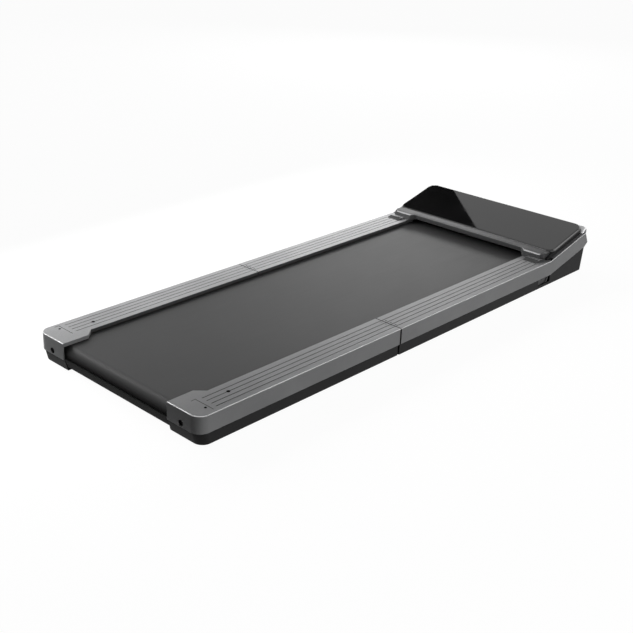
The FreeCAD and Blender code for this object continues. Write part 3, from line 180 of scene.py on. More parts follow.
def silver_paint(name, color, rough, highlight_color, shine=0.24):
    """Satin silver finish: fine flake, faint lengthwise draw lines, painted highlights on marked edges and
    painted shade in marked grooves, splits, holes and notches.
    """
    s = Shader(name, color, rough)
    flake = s.noise(scale=2600, detail=2)
    cloud = s.noise(scale=9, detail=4)
    streak = s.noise(scale=700, detail=2, rough=0.5, stretch=(0.02, 1, 1))
    body = s.shade(s.weigh(flake, 0.55, cloud), amount=0.14, start=0.35, end=0.65)
    # Marked edges get a lighter colour and some metal: a painted highlight.
    edge_highlight = s.math("MULTIPLY", s.attribute("edge"), s.spread(s.noise(scale=60, detail=5), 0.8, 1.0))
    body = s.mix(edge_highlight, body, highlight_color)
    s.feed(s.main.inputs["Metallic"], s.math("MULTIPLY", edge_highlight, 0.8))
    # Marked recesses get a tenth of the colour: painted shade.
    s.paint(s.mix(s.attribute("recess_shade"), body, tuple(c * 0.1 for c in color)))
    s.gloss(s.noise(scale=220, detail=4), amount=0.07)
    s.bump(flake, strength=0.10, distance=0.00012)
    s.bump(streak, strength=0.06, distance=0.0002)
    s.set(Specular_IOR_Level=shine)
    return s.material


def grained_plastic(name, color, rough, scale=1500, strength=0.25, shine=0.1):
    """Moulded plastic with a spark-eroded grain."""
    s = Shader(name, color, rough)
    grain = s.noise(scale, detail=3)
    cloud = s.noise(scale=40, detail=4)
    s.paint(s.shade(s.weigh(grain, 0.7, cloud), amount=0.2))
    s.gloss(cloud, amount=0.02)
    s.bump(grain, strength, distance=0.0002)
    s.set(Specular_IOR_Level=shine)
    return s.material


def gloss_panel(name, color):
    """Polished dark panel with faint wiping marks."""
    s = Shader(name, color, rough=0.035)
    smear = s.noise(scale=18, detail=4, rough=0.6, stretch=(1, 0.35, 1))
    s.paint(s.shade(s.noise(scale=6, detail=3), amount=0.3))
    s.gloss(smear, amount=0.02, start=0.35, end=0.7)
    s.bump(s.noise(scale=5, detail=2), strength=0.012, distance=0.002)
    s.set(IOR=1.5)
    return s.material


def belt_surface(name, color):
    """Running belt: fine diamond emboss over a dull rubbery weave."""
    s = Shader(name, color, rough=0.54)
    weave = s.node("ShaderNodeTexVoronoi", Vector=s.stretched((1, 1.25, 1)), Scale=720, Randomness=0.25)
    drag = s.noise(scale=160, detail=4, rough=0.6, stretch=(0.06, 1, 1))
    cloud = s.noise(scale=7, detail=4)
    s.paint(s.shade(s.weigh(drag, 0.5, cloud), amount=0.1, start=0.35, end=0.65))
    s.gloss(drag, amount=0.02)
    s.bump(weave.outputs["Distance"], strength=0.22, distance=0.0003)
    s.bump(s.noise(scale=1900, detail=2), strength=0.12, distance=0.0001)
    s.set(Specular_IOR_Level=0.32)
    return s.material


def rubber(name, color):
    """Dull rubber with moulding bloom."""
    s = Shader(name, color, rough=0.72)
    bloom = s.noise(scale=45, detail=5, rough=0.65)
    s.paint(s.shade(bloom, amount=0.35))
    s.gloss(bloom, amount=0.1)
    s.bump(s.noise(scale=1300, detail=3), strength=0.2, distance=0.0002)
    return s.material


def steel(name, color, rough, stretch=(1, 0.05, 1)):
    """Ground or turned metal with fine lines along one axis."""
    s = Shader(name, color, rough, metal=1.0)
    lines = s.noise(scale=900, detail=4, rough=0.6, stretch=stretch)
    stain = s.noise(scale=25, detail=4)
    s.paint(s.shade(s.weigh(lines, 0.6, stain), amount=0.2))
    s.gloss(lines, amount=0.1)
    s.bump(lines, strength=0.12, distance=0.0001)
    return s.material


def painted_steel(name, color, rough):
    """Powder coat with a light orange peel."""
    s = Shader(name, color, rough)
    peel = s.noise(scale=420, detail=3)
    s.paint(s.shade(s.noise(scale=30, detail=4), amount=0.3))
    s.gloss(peel, amount=0.08)
    s.bump(peel, strength=0.16, distance=0.0004)
    return s.material


def fibre_board(name, color):
    """Pressed fibre board with short fibres and a waxed skin."""
    s = Shader(name, color, rough=0.6)
    fibre = s.noise(scale=240, detail=5, rough=0.7, stretch=(0.25, 1, 1))
    s.paint(s.shade(fibre, amount=0.35))
    s.gloss(fibre, amount=0.1)
    s.bump(fibre, strength=0.2, distance=0.0003)
    return s.material


def circuit_board(name, color):
    """Lacquered board with copper tracks under the lacquer."""
    s = Shader(name, color, rough=0.35)
    tracks = s.node("ShaderNodeTexBrick", Vector=s.place, Scale=90.0, Mortar_Size=0.03).outputs["Fac"]
    track_color = tuple(min(1.0, c * 2.2 + 0.02) for c in color)
    s.paint(s.mix(tracks, color, track_color))
    s.gloss(s.noise(scale=70, detail=4), amount=0.08)
    s.bump(tracks, strength=0.15, distance=0.0002)
    return s.material


# The record's slots, and three finishes that some pieces or faces have instead: a darker grey and a darker
# black that paint shade onto the hood's front edge, the rails' inner walls and the crossbar, and black for
# the screws
MATERIALS = {
    "silver_cover": silver_paint("silver_cover", (0.27, 0.272, 0.276), 0.4, highlight_color=(0.6, 0.6, 0.605)),
    # A darker copy of the silver finish for the hood's lip and arms and the rails' inner walls: painted
    # shade.
    "shaded_grey": silver_paint("shaded_grey", (0.068, 0.0683, 0.0693), 0.42, highlight_color=(0.5, 0.5, 0.505),
                              shine=0.1),
    "dark_base": grained_plastic("dark_base", (0.016, 0.016, 0.0164), 0.55),
    # A darker copy of the base plastic for the tail crossbar: painted shade.
    "shaded_bar_black": grained_plastic("shaded_bar_black", (0.012, 0.012, 0.0123), 0.6, shine=0.05),
    "gloss_black": gloss_panel("gloss_black", (0.007, 0.007, 0.0072)),
    "belt": belt_surface("belt", (0.022, 0.022, 0.0222)),
    "rubber": rubber("rubber", (0.022, 0.022, 0.022)),
    "wheel_grey": grained_plastic("wheel_grey", (0.12, 0.12, 0.122), 0.5, scale=900),
    "rocker_black": grained_plastic("rocker_black", (0.015, 0.015, 0.015), 0.3, scale=1200, strength=0.1),
    "screw_black": grained_plastic("screw_black", (0.006, 0.006, 0.006), 0.7, scale=1200, strength=0.1,
                                   shine=0.0),
    "frame_steel": painted_steel("frame_steel", (0.03, 0.03, 0.032), 0.45),
    "bright_steel": steel("bright_steel", (0.52, 0.52, 0.53), 0.32),
    "motor_black": painted_steel("motor_black", (0.025, 0.025, 0.026), 0.4),
    "sink_aluminium": steel("sink_aluminium", (0.62, 0.62, 0.63), 0.4, stretch=(1, 0.04, 1)),
    "board": circuit_board("board", (0.012, 0.09, 0.04)),
    "deck_board": fibre_board("deck_board", (0.25, 0.17, 0.1)),
}


# Mesh helpers

MERGE_GAP = 1e-6
FLAT_ANGLE = math.radians(0.6)
SHARP_ANGLE = math.radians(28)
SHORTEST_EDGE = 0.0012
SOFT_STEPS = 2
FACE_WEIGHT = 100


def dress(piece, material):
    """Give a piece one of the materials, in place of those it has."""
    if len(piece.data.materials):
        piece.data.materials.clear()
    piece.data.materials.append(MATERIALS[material])
    return piece


def add_piece(name, mesh, slot, body=None):
    """A new mesh object in the scene with a record slot's material."""
    piece = bpy.data.objects.new(name, mesh)
    scene.collection.objects.link(piece)
    dress(piece, slot)
    if body is not None:
        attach(piece, body)
    return piece


def smooth(mesh, angle):
    """Smooth shading, broken at edges sharper than an angle in degrees."""
    mesh.polygons.foreach_set("use_smooth", [True] * len(mesh.polygons))
    mesh.set_sharp_from_angle(angle=math.radians(angle))


def mesh_from(grid, name, angle=30):
    """A smooth-shaded mesh from a finished grid, with its normals facing out."""
    bmesh.ops.recalc_face_normals(grid, faces=grid.faces)
    mesh = bpy.data.meshes.new(name)
    grid.to_mesh(mesh)
    grid.free()
    smooth(mesh, angle)
    return mesh


def flatten(piece):
    """Keep large faces flat in the shading of softened edges."""
    modifier = piece.modifiers.new("normals", "WEIGHTED_NORMAL")
    modifier.mode = "FACE_AREA"
    modifier.weight = FACE_WEIGHT
    modifier.keep_sharp = True


def skin(grid, rings):
    """Faces between neighbouring rings of points; gives back the rings' vertices."""
    rows = [[grid.verts.new(point) for point in ring] for ring in rings]
    count = len(rows[0])
    for first, second in zip(rows, rows[1:]):
        for k in range(count):
            grid.faces.new((first[k], first[(k + 1) % count], second[(k + 1) % count], second[k]))
    return rows


def loft(grid, rings):
    """Closed solid through rings of points, capped at both ends."""
    rows = skin(grid, rings)
    grid.faces.new(rows[0])
    grid.faces.new(rows[-1][::-1])


def mark_faces(grid, layer, value):
    """Store on each face of a finished grid what a function of the face gives."""
    bmesh.ops.recalc_face_normals(grid, faces=grid.faces)
    grid.normal_update()
    marks = grid.faces.layers.float.new(layer)
    for face in grid.faces:
        face[marks] = value(face)


def ease(value, start, end):
    """Smooth step from nought to one."""
    share = min(1.0, max(0.0, (value - start) / (end - start)))
    return share * share * (3 - 2 * share)


def fall(past, radius):
    """How far a rounded end has dropped at a distance past the start of its rounding."""
    past = max(0.0, past)
    return radius - math.sqrt(max(0.0, radius ** 2 - past ** 2))


def places(start, end, count):
    """Evenly spaced places from one end to the other."""
    return [start + (end - start) * k / count for k in range(count + 1)]


def curve_through(points, steps):
    """Points along a smooth curve through given points."""
    made = []
    for k in range(len(points) - 1):
        before, first = Vector(points[max(k - 1, 0)]), Vector(points[k])
        second, after = Vector(points[k + 1]), Vector(points[min(k + 2, len(points) - 1)])
        for step in range(steps):
            t = step / steps
            made.append(0.5 * (2 * first + (second - before) * t
                               + (2 * before - 5 * first + 4 * second - after) * t ** 2
                               + (3 * first - before - 3 * second + after) * t ** 3))
    return made + [Vector(points[-1])]


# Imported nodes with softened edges

def slot_of(node):
    """The record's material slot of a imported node."""
    return next(row["material_slot"] for row in frame["record"]["subparts"] if row["node"] == node)


def round_off(grid, edges, width, segments):
    """Round chosen edges of a mesh."""
    return bmesh.ops.bevel(grid, geom=edges, offset=width, offset_type="OFFSET", segments=segments,
                           profile=0.5, affect="EDGES", clamp_overlap=True)


def sharp_edges(grid):
    """Edges of a mesh that turn sharply and aren't tiny."""
    return [e for e in grid.edges
            if e.is_manifold and e.calc_face_angle(0) > SHARP_ANGLE and e.calc_length() > SHORTEST_EDGE]


def middle_of(edge):
    return (edge.verts[0].co + edge.verts[1].co) / 2


def crisp(node, width, rounds=(), spare=None, mark=None, slots=()):
    """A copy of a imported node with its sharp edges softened, standing in for it.

    Each of rounds is a test of an edge's middle, a width and a number of steps, for edges that are
    rounded first. Edges whose middle passes the test spare stay sharp. mark sets the values and the
    material of each face, and slots names the materials after the first."""
    source = frame["nodes"][node]
    grid = bmesh.new()
    grid.from_mesh(source.data)
    bmesh.ops.remove_doubles(grid, verts=grid.verts, dist=MERGE_GAP)
    bmesh.ops.dissolve_limit(grid, angle_limit=FLAT_ANGLE, verts=grid.verts, edges=grid.edges)
    # Face layers: one for the painted highlight on edges, one for painted shade in recesses.
    edge = grid.faces.layers.float.new("edge")
    recess_shade = grid.faces.layers.float.new("recess_shade")
    for test, wide, steps in rounds:
        round_off(grid, [e for e in sharp_edges(grid) if test(middle_of(e))], wide, steps)
    softened = [e for e in sharp_edges(grid) if spare is None or not spare(middle_of(e))]
    made = round_off(grid, softened, width, SOFT_STEPS)
    # Every softened edge gets the painted highlight at full strength.
    for face in made["faces"]:
        face[edge] = 1.0
    if mark is not None:
        grid.normal_update()
        for face in grid.faces:
            mark(face, edge, recess_shade)
    mesh = bpy.data.meshes.new(node + "_look")
    grid.to_mesh(mesh)
    grid.free()
    smooth(mesh, 30)
    piece = add_piece(node + "_look", mesh, slot_of(node), source["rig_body"])
    for slot in slots:
        mesh.materials.append(MATERIALS[slot])
    flatten(piece)
    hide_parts(node)
    return piece


RAIL_TOP = 0.069
RAIL_INNER = 0.1975
FOLD_X = -0.104
ROLLER_Z = 0.0385
BOLT_Y = 0.2195

# Lines cut into the rails' tops
GROOVE_DEPTH = 0.0016
GROOVE_INSET = 0.004
GROOVE_OUTER = 0.27
GROOVE_REAR = -0.71
GROOVE_RIM = 0.0002

# Edges and openings of the rail covers
COVER_EDGE_DEPTH = 0.0022
COVER_REAR_X = -0.7
COVER_OUTER_Y = 0.262
SPLIT_REACH = 0.0035
BOLT_HOLE_X = -0.7132
BOLT_HOLE_RADIUS = 0.0073
INNER_WALL = 0.003
BLOCK_FRONT_X = -0.626

# How strong the painted highlights on edges are
FAINT_COVER_HIGHLIGHT = 0.2
OUTER_COVER_HIGHLIGHT = 0.6
FAINT_HOOD_HIGHLIGHT = 0.3
BACK_PLATE_HIGHLIGHT = 0.8


def in_groove(middle):
    """Whether a point is on the edge or in the depth of a line cut into a rail's top."""
    return (middle.z > RAIL_TOP - GROOVE_DEPTH and middle.x > GROOVE_REAR
            and RAIL_INNER + GROOVE_INSET < abs(middle.y) < GROOVE_OUTER)


def mark_cover(face, edge, recess_shade):
    """Painted highlights on a rail cover's edges, painted shade in its grooves, split and bolt hole, and the
    darker grey on its inner wall as painted shade.
    """
    middle, normal = face.calc_center_median(), face.normal
    sunk = RAIL_TOP - middle.z
    reach = abs(middle.y)
    outward = normal.y * math.copysign(1, middle.y)
    # Painted highlight: faint on most softened edges, full on the tail blocks' rear top edges, strong on the
    # outer top edges.
    face[edge] *= FAINT_COVER_HIGHLIGHT
    if 0.3 < normal.z < 0.95 and sunk < COVER_EDGE_DEPTH:
        if normal.x < -0.2 and middle.x < COVER_REAR_X:
            face[edge] = 1.0
        elif outward > 0.2 and reach > COVER_OUTER_Y:
            face[edge] = OUTER_COVER_HIGHLIGHT
    # Painted shade in the grooves, the fold split and the bolt hole.
    if sunk > GROOVE_RIM and in_groove(middle) and (normal.z > 0.95 or abs(normal.z) < 0.1):
        face[recess_shade] = 1.0
    if abs(normal.x) > 0.9 and abs(middle.x - FOLD_X) < SPLIT_REACH:
        face[recess_shade] = 1.0
    from_bolt = math.hypot(reach - BOLT_Y, middle.z - ROLLER_Z)
    if abs(normal.x) < 0.5 and middle.x < BOLT_HOLE_X and from_bolt < BOLT_HOLE_RADIUS:
        face[recess_shade] = 1.0
    # The inner wall takes the darker grey: painted shade.
    if reach < RAIL_INNER + INNER_WALL and abs(normal.y) > 0.7 and middle.x > BLOCK_FRONT_X:
        face.material_index = 1


LIP_BACK = 0.5478
LIP_LOW = 0.0727
HOOD_ARM_Z = 0.0738
CHANNEL_Y = 0.2555
CHANNEL_REAR = 0.55
CHANNEL_FRONT = 0.7035
BACK_PLATE_X = 0.7045
BACK_PLATE_Z = 0.112
BACK_EDGE_X = 0.7053
BACK_EDGE_Z = 0.1105
BACK_EDGE_REACH = 0.0004
BACK_EDGE_ROUND = 0.0032
BACK_EDGE_STEPS = 5


def mark_hood(face, edge, recess_shade):
    """Painted shade on the channel beside the slab and on the arms, and a painted highlight on the back
    plate's top.
    """
    middle, normal = face.calc_center_median(), face.normal
    # Faint painted highlight on softened edges, a strong one on the back plate's top.
    face[edge] *= FAINT_HOOD_HIGHLIGHT
    if normal.z > 0.3 and middle.x > BACK_PLATE_X and middle.z > BACK_PLATE_Z:
        face[edge] = BACK_PLATE_HIGHLIGHT
    # Upward faces of the channel beside the slab take the dark base plastic: painted shade.
    if normal.z > 0.5 and abs(middle.y) > CHANNEL_Y and CHANNEL_REAR < middle.x < CHANNEL_FRONT:
        face.material_index = 1
    # The arms take the darker grey: painted shade.
    if middle.x < LIP_BACK and middle.z > HOOD_ARM_Z:
        face.material_index = 2


def back_plate_edge(middle):
    """Whether a point is on the near upper edge of the plate behind the slab."""
    return abs(middle.x - BACK_EDGE_X) < BACK_EDGE_REACH and middle.z > BACK_EDGE_Z


# Running belt

BELT_HALF = 0.2075
BELT_THICK = 0.002
ROLLER_RADIUS = 0.0185
TAIL_X = -0.689
DRIVE_X = 0.548
BEND_REACH = 0.0115
TAIL_CUT = TAIL_X + 0.1
RUN_STEPS = 30
FOLD_STEPS = 12
TAIL_STEPS = 12
BEND_STEPS = 28
ACROSS_STEPS = 16


def belt_path(kind):
    """Middle line of one piece of the belt as (point, outward normal) pairs, in the plane of the rollers."""
    middle = ROLLER_RADIUS + BELT_THICK / 2
    top, low = ROLLER_Z + middle, ROLLER_Z - middle
    up, down = Vector((0, 0, 1)), Vector((0, 0, -1))

    def run(xs, z, normal):
        return [(Vector((x, 0, z)), normal) for x in xs]

    def bend(x, first, last):
        angles = places(first, last, BEND_STEPS)[1:-1]
        return [(Vector((x + middle * math.cos(a), 0, ROLLER_Z + middle * math.sin(a))),
                 Vector((math.cos(a), 0, math.sin(a)))) for a in angles]

    if kind == "front":
        xs = places(FOLD_X, FOLD_X + BEND_REACH, FOLD_STEPS)[:-1]
        xs += places(FOLD_X + BEND_REACH, DRIVE_X, RUN_STEPS)
        return run(xs, top, up) + bend(DRIVE_X, QUARTER_TURN, -QUARTER_TURN) + run(xs[::-1], low, down)
    if kind == "tail":
        xs = places(TAIL_CUT, TAIL_X, TAIL_STEPS)
        return run(xs, top, up) + bend(TAIL_X, QUARTER_TURN, 3 * QUARTER_TURN) + run(xs[::-1], low, down)
    xs = places(TAIL_CUT, FOLD_X - BEND_REACH, RUN_STEPS)[:-1]
    xs += places(FOLD_X - BEND_REACH, FOLD_X, FOLD_STEPS)
    return run(xs, top, up) if kind == "rear_top" else run(xs, low, down)


def belt_piece(name, path):
    """A strip of belt with rounded side edges, along a path of points and outward normals."""
    half = BELT_THICK / 2
    ring = [(-BELT_HALF + half + (2 * BELT_HALF - BELT_THICK) * k / ACROSS_STEPS, half)
            for k in range(ACROSS_STEPS + 1)]
    ring += [(BELT_HALF - half * (1 - math.sin(t)), half * math.cos(t))
             for t in (math.pi / 4, math.pi / 2, 3 * math.pi / 4)]
    ring += [(y, -half) for y, _ in ring[ACROSS_STEPS::-1]]
    ring += [(-y, h) for y, h in ring[ACROSS_STEPS + 3:ACROSS_STEPS:-1]]
    grid = bmesh.new()
    skin(grid, [[point + Vector((0, y, 0)) + normal * h for y, h in ring] for point, normal in path])
    piece = add_piece(name, mesh_from(grid, name, 50), "belt")
    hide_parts("running_belt")
    return piece


def build_belt():
    """The belt in four pieces: the front loop, the upper and lower rear runs and the bend round the tail
    roller.
    """
    front = belt_piece("belt_front", belt_path("front"))
    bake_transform(front)
    for strand in ("rear_top", "rear_low"):
        rear = belt_piece("belt_" + strand, belt_path(strand))
        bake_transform(rear)
    tail = belt_piece("belt_tail", belt_path("tail"))
    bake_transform(tail)


# Front edge of the hood and the shoulders at the nose

# Side views (x, z) of the lip over the belt and of the feet on the rails, from the front's foot to the back
LIP_LINE = [(0.5262, 0.0727), (0.5248, 0.0738), (0.5246, 0.0765), (0.5246, 0.0795), (0.5247, 0.0828),
            (0.5254, 0.0850), (0.5276, 0.0862), (0.5380, 0.0867), (0.5478, 0.0872)]
ARM_LINE = [(0.5087, 0.0690), (0.5091, 0.0704), (0.5100, 0.0728), (0.5112, 0.0757), (0.5124, 0.0790),
            (0.5139, 0.0828), (0.5172, 0.0857), (0.5290, 0.0867), (0.5478, 0.0872)]
LINE_STEPS = 4
ARM_START = 0.178
ARM_INNER = 0.1972
ARM_OUTER = 0.2465
ARM_END_ROUND = 0.0015
LIP_STEPS = 10
SWELL_STEPS = 16
ARM_STEPS = 6
ARM_END_STEPS = 7
LIP_HIGHLIGHT = 0.25
ARM_HIGHLIGHT_GAIN = 0.55


def lip_highlight(face):
    """Strength of the painted highlight on the lip's upper edge, which grows towards the feet."""
    if face.normal.x < -0.15 and 0.5 < face.normal.z < 0.97:
        return LIP_HIGHLIGHT + ARM_HIGHLIGHT_GAIN * ease(abs(face.calc_center_median().y), ARM_START, ARM_INNER)
    return 0.0


def build_lip():
    """Front edge of the hood: a rolled lip over the belt that swells into a foot on each rail."""
    lip, arm = curve_through(LIP_LINE, LINE_STEPS), curve_through(ARM_LINE, LINE_STEPS)
    flat_end = ARM_OUTER - ARM_END_ROUND
    half = [ARM_START * k / LIP_STEPS for k in range(LIP_STEPS)]
    half += places(ARM_START, ARM_INNER, SWELL_STEPS)
    half += places(ARM_INNER, flat_end, ARM_STEPS)[1:]
    half += [flat_end + ARM_END_ROUND * math.sin(QUARTER_TURN * k / ARM_END_STEPS)
             for k in range(1, ARM_END_STEPS + 1)]
    rings = []
    for y in [-v for v in half[:0:-1]] + half:
        swell = ease(abs(y), ARM_START, ARM_INNER)
        drop = fall(abs(y) - flat_end, ARM_END_ROUND)
        low = LIP_LOW + (RAIL_TOP - LIP_LOW) * swell
        front = [first.lerp(second, swell) for first, second in zip(lip, arm)]
        ring = [(min(LIP_BACK, p.x + drop), y, max(low, p.y - drop)) for p in front]
        rings.append(ring + [(LIP_BACK, y, low)])
    grid = bmesh.new()
    loft(grid, rings)
    # The upper edge gets a painted highlight.
    mark_faces(grid, "edge", lip_highlight)
    piece = add_piece("hood_lip", mesh_from(grid, "hood_lip", 40), "silver_cover", "front_section")
    # The lip takes the darker grey: painted shade.
    flatten(dress(piece, "shaded_grey"))


SHOULDER_LINE = [(0.6900, 0.1088), (0.6935, 0.1122), (0.6975, 0.1160), (0.7015, 0.1193), (0.7048, 0.1212),
                 (0.7075, 0.1218), (0.7092, 0.1213), (0.7096, 0.1200)]
SHOULDER_LINE_STEPS = 3
SHOULDER_LOW = 0.108
SHOULDER_LEAST = 0.0004
SHOULDER_INNER = 0.238
SHOULDER_OUTER = 0.2682
SHOULDER_ROUND = 0.006
SHOULDER_STEPS = 6
SHOULDER_HIGHLIGHT = 0.9


def build_shoulders():
    """Rounded silver shoulders between the plate at the nose and the slab's back corners."""
    line = curve_through(SHOULDER_LINE, SHOULDER_LINE_STEPS)
    flat_end = SHOULDER_OUTER - SHOULDER_ROUND
    across = places(SHOULDER_INNER, flat_end, SHOULDER_STEPS)
    across += [flat_end + SHOULDER_ROUND * math.sin(QUARTER_TURN * k / SHOULDER_STEPS)
               for k in range(1, SHOULDER_STEPS + 1)]
    for name, side in SIDES.items():
        rings = []
        for y in across:
            drop = fall(y - flat_end, SHOULDER_ROUND)
            ring = [(p.x, y * side, max(SHOULDER_LOW + SHOULDER_LEAST, p.y - drop)) for p in line]
            rings.append(ring + [(p.x, y * side, SHOULDER_LOW) for p in (line[-1], line[0])])
        grid = bmesh.new()
        loft(grid, rings)
        # Upward faces get a strong painted highlight.
        mark_faces(grid, "edge", lambda face: SHOULDER_HIGHLIGHT if face.normal.z > 0.2 else 0.0)
        label = f"nose_shoulder_{name}"
        flatten(add_piece(label, mesh_from(grid, label, 50), "silver_cover", "front_section"))


# Tray under the rear half

PAN_TOP = 0.033
PAN_LOW = 0.001
PAN_WALL = 0.0025
PAN_SIDE = 0.271
PAN_REAR = -0.7135
PAN_CORNER = 0.0235
PAN_LEAN = 0.0065
PAN_END = -0.109
COVER_LOW = 0.029
NOTCH_GAP = 0.0005
# The wall's section as (height, distance inward): down the outside, round the foot and up the inside
PAN_SECTION = [(PAN_TOP, 0.0), (COVER_LOW, 0.0), (0.02, 0.0), (0.01, 0.0), (0.003, 0.0), (0.0018, 0.0003),
               (0.0012, 0.0008), (PAN_LOW, 0.0016), (PAN_LOW, PAN_WALL), (PAN_TOP, PAN_WALL)]
PAN_SIDE_STEPS = 12
PAN_CORNER_STEPS = 14
PAN_REAR_STEPS = 5


def build_rear_pan():
    """Tray under the rear half: a leaning wall round both tail corners, and a floor notched for the bar."""
    bar_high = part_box("tail_crossbar")[1]
    notch = bar_high[1] + NOTCH_GAP

    def wall_point(share, z, inset, side):
        """A point of the wall: shares 0 to 1 along the side, to 2 round the corner, to 3 along the rear."""
        lean = PAN_LEAN * max(0.0, COVER_LOW - z) / (COVER_LOW - PAN_LOW)
        centre_x, centre_y = PAN_REAR + lean + PAN_CORNER, PAN_SIDE - PAN_CORNER
        if share <= 1:
            x, y = PAN_END + (centre_x - PAN_END) * share, PAN_SIDE - inset
        elif share <= 2:
            turn = QUARTER_TURN * (share - 1)
            radius = PAN_CORNER - inset
            x, y = centre_x - radius * math.sin(turn), centre_y + radius * math.cos(turn)
        else:
            x, y = PAN_REAR + lean + inset, centre_y + (notch - centre_y) * (share - 2)
        return (x, y * side, z)

    shares = [k / PAN_SIDE_STEPS for k in range(PAN_SIDE_STEPS)]
    shares += [1 + k / PAN_CORNER_STEPS for k in range(PAN_CORNER_STEPS)]
    shares += [2 + k / PAN_REAR_STEPS for k in range(PAN_REAR_STEPS + 1)]
    grid = bmesh.new()
    for side in SIDES.values():
        loft(grid, [[wall_point(share, z, inset, side) for z, inset in PAN_SECTION] for share in shares])
    outline = [wall_point(share, PAN_LOW, PAN_WALL, 1)[:2] for share in [0] + shares[PAN_SIDE_STEPS:]]
    outline.append((bar_high[0], notch))
    outline += [(x, -y) for x, y in outline[::-1]]
    loft(grid, [[(x, y, z) for x, y in outline] for z in (PAN_LOW, PAN_LOW + PAN_WALL)])
    piece = add_piece("rear_pan_look", mesh_from(grid, "rear_pan_look"), "dark_base", "rear_section")
    flatten(piece)
    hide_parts("rear_pan")


# Fold hinges

LINK_ROWS = (0.2213, 0.2355, 0.2497)
LINK_HALF = 0.0025
PIVOT_REACH = 0.0055
PIVOT_Z = 0.066
EYE_RADIUS = 0.003
EYE_STEPS = 11
EYE_STEP_ANGLE = 11
# Points (x from the pivot, z) between a link's eye and its top
LINK_SHOULDER = [(0.00274, PIVOT_Z + 0.0019), (0.00215, PIVOT_Z + 0.0025), (0.0014, RAIL_TOP)]
# Points (x from the fold, z) of the notch that carries on the fold line
LINK_NOTCH = [(0.0012, RAIL_TOP), (0.0009, RAIL_TOP - 0.001)]
# Section (x from the fold, z) of the ear tops beside the links, and their place across
EAR_LINE = [(0.0012, 0.0666), (0.0012, 0.0687), (0.0014, RAIL_TOP), (0.0086, RAIL_TOP), (0.0088, 0.0688),
            (0.0088, 0.0666)]
EAR_BANDS = ((0.0027, 0.0056), (-0.0056, -0.0027))
NOTCH_REACH = 0.00135


def link_outline():
    """Side view of a fold link: two eyes, a flush top and a narrow notch that carries on the fold line."""
    pivot = FOLD_X + PIVOT_REACH
    front = [(pivot + EYE_RADIUS * math.cos(a), PIVOT_Z + EYE_RADIUS * math.sin(a))
             for a in (math.radians(-90 + EYE_STEP_ANGLE * k) for k in range(EYE_STEPS))]
    front += [(pivot + x, z) for x, z in LINK_SHOULDER]
    front += [(FOLD_X + x, z) for x, z in LINK_NOTCH]
    return front + [(2 * FOLD_X - x, z) for x, z in front[::-1]]


def notch_shade(face):
    """One on the faces inside the fold line, which get painted shade."""
    return 1.0 if abs(face.calc_center_median().x - FOLD_X) < NOTCH_REACH else 0.0


def build_hinges():
    """Links and the ear tops beside them, flush with the rail covers."""
    outline = link_outline()
    for name, side in SIDES.items():
        grid = bmesh.new()
        for row in LINK_ROWS:
            loft(grid, [[(x, row * side + y, z) for x, z in outline] for y in (-LINK_HALF, LINK_HALF)])
        # Faces inside the fold line get painted shade.
        mark_faces(grid, "recess_shade", notch_shade)
        links = add_piece(f"fold_links_{name}_look", mesh_from(grid, "links"), "silver_cover", "fold_links")
        flatten(links)
        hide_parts(f"fold_links_{name}")
        for half, end, body in (("front", 1, "front_section"), ("rear", -1, "rear_section")):
            grid = bmesh.new()
            for row in LINK_ROWS:
                for band in EAR_BANDS:
                    loft(grid, [[(FOLD_X + x * end, row * side + y, z) for x, z in EAR_LINE] for y in band])
            # Faces inside the fold line get painted shade.
            mark_faces(grid, "recess_shade", notch_shade)
            label = f"hinge_tops_{half}_{name}"
            flatten(add_piece(label, mesh_from(grid, label), "silver_cover", body))


# Screws on the tail blocks

# Place and head radius: one beside the engraved line, one on the ridges
SCREWS = ((-0.676, 0.2475, 0.0029), (-0.598, 0.2284, 0.0041))
# Section of a head as (share of its radius, height over the rail); the last two rings make the socket
SCREW_LINE = [(1, -0.0004), (1, 0.0002), (0.86, 0.0006), (0.5, 0.0008), (0.46, 0)]
SOCKET_RING = 3
SCREW_STEPS = 36
SIXTH_TURN = math.pi / 3


def screw_head(grid, x, y, radius):
    """Low-domed head, turned about a vertical line, with a hexagon socket."""
    rings = []
    for k, (share, height) in enumerate(SCREW_LINE):
        ring = []
        for step in range(SCREW_STEPS):
            angle = 2 * math.pi * step / SCREW_STEPS
            reach = radius * share
            if k >= SOCKET_RING:
                reach /= math.cos((angle + SIXTH_TURN / 2) % SIXTH_TURN - SIXTH_TURN / 2)
            ring.append((x + reach * math.cos(angle), y + reach * math.sin(angle), RAIL_TOP + height))
        rings.append(ring)
    loft(grid, rings)


def build_screws():
    """Dark socket screws on the tail blocks."""
    grid = bmesh.new()
    for side in SIDES.values():
        for x, y, radius in SCREWS:
            screw_head(grid, x, y * side, radius)
    mesh = mesh_from(grid, "cover_screws_look")
    piece = add_piece("cover_screws_look", mesh, "bright_steel", "rear_section")
    dress(piece, "screw_black")
    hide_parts("cover_screws")


# The part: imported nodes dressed, softened copies and new pieces

COVERS = [f"{half}_cover_{name}" for half in ("front", "rear") for name in SIDES]
COVER_SOFT = 0.0004
HOOD_SOFT = 0.0008
SOFTENED = {
    "front_pan": 0.0008, "tail_crossbar": 0.0008, "display_housing": 0.0006, "display_lens": 0.0004,
    "bumper_left": 0.0006, "bumper_right": 0.0006,
}
# Nodes, by the start of their name, whose finish isn't their slot's
OTHER_FINISH = {
    "hinge_leaf": "silver_cover", "tension_bolt": "motor_black", "wheel_axles": "wheel_grey",
}

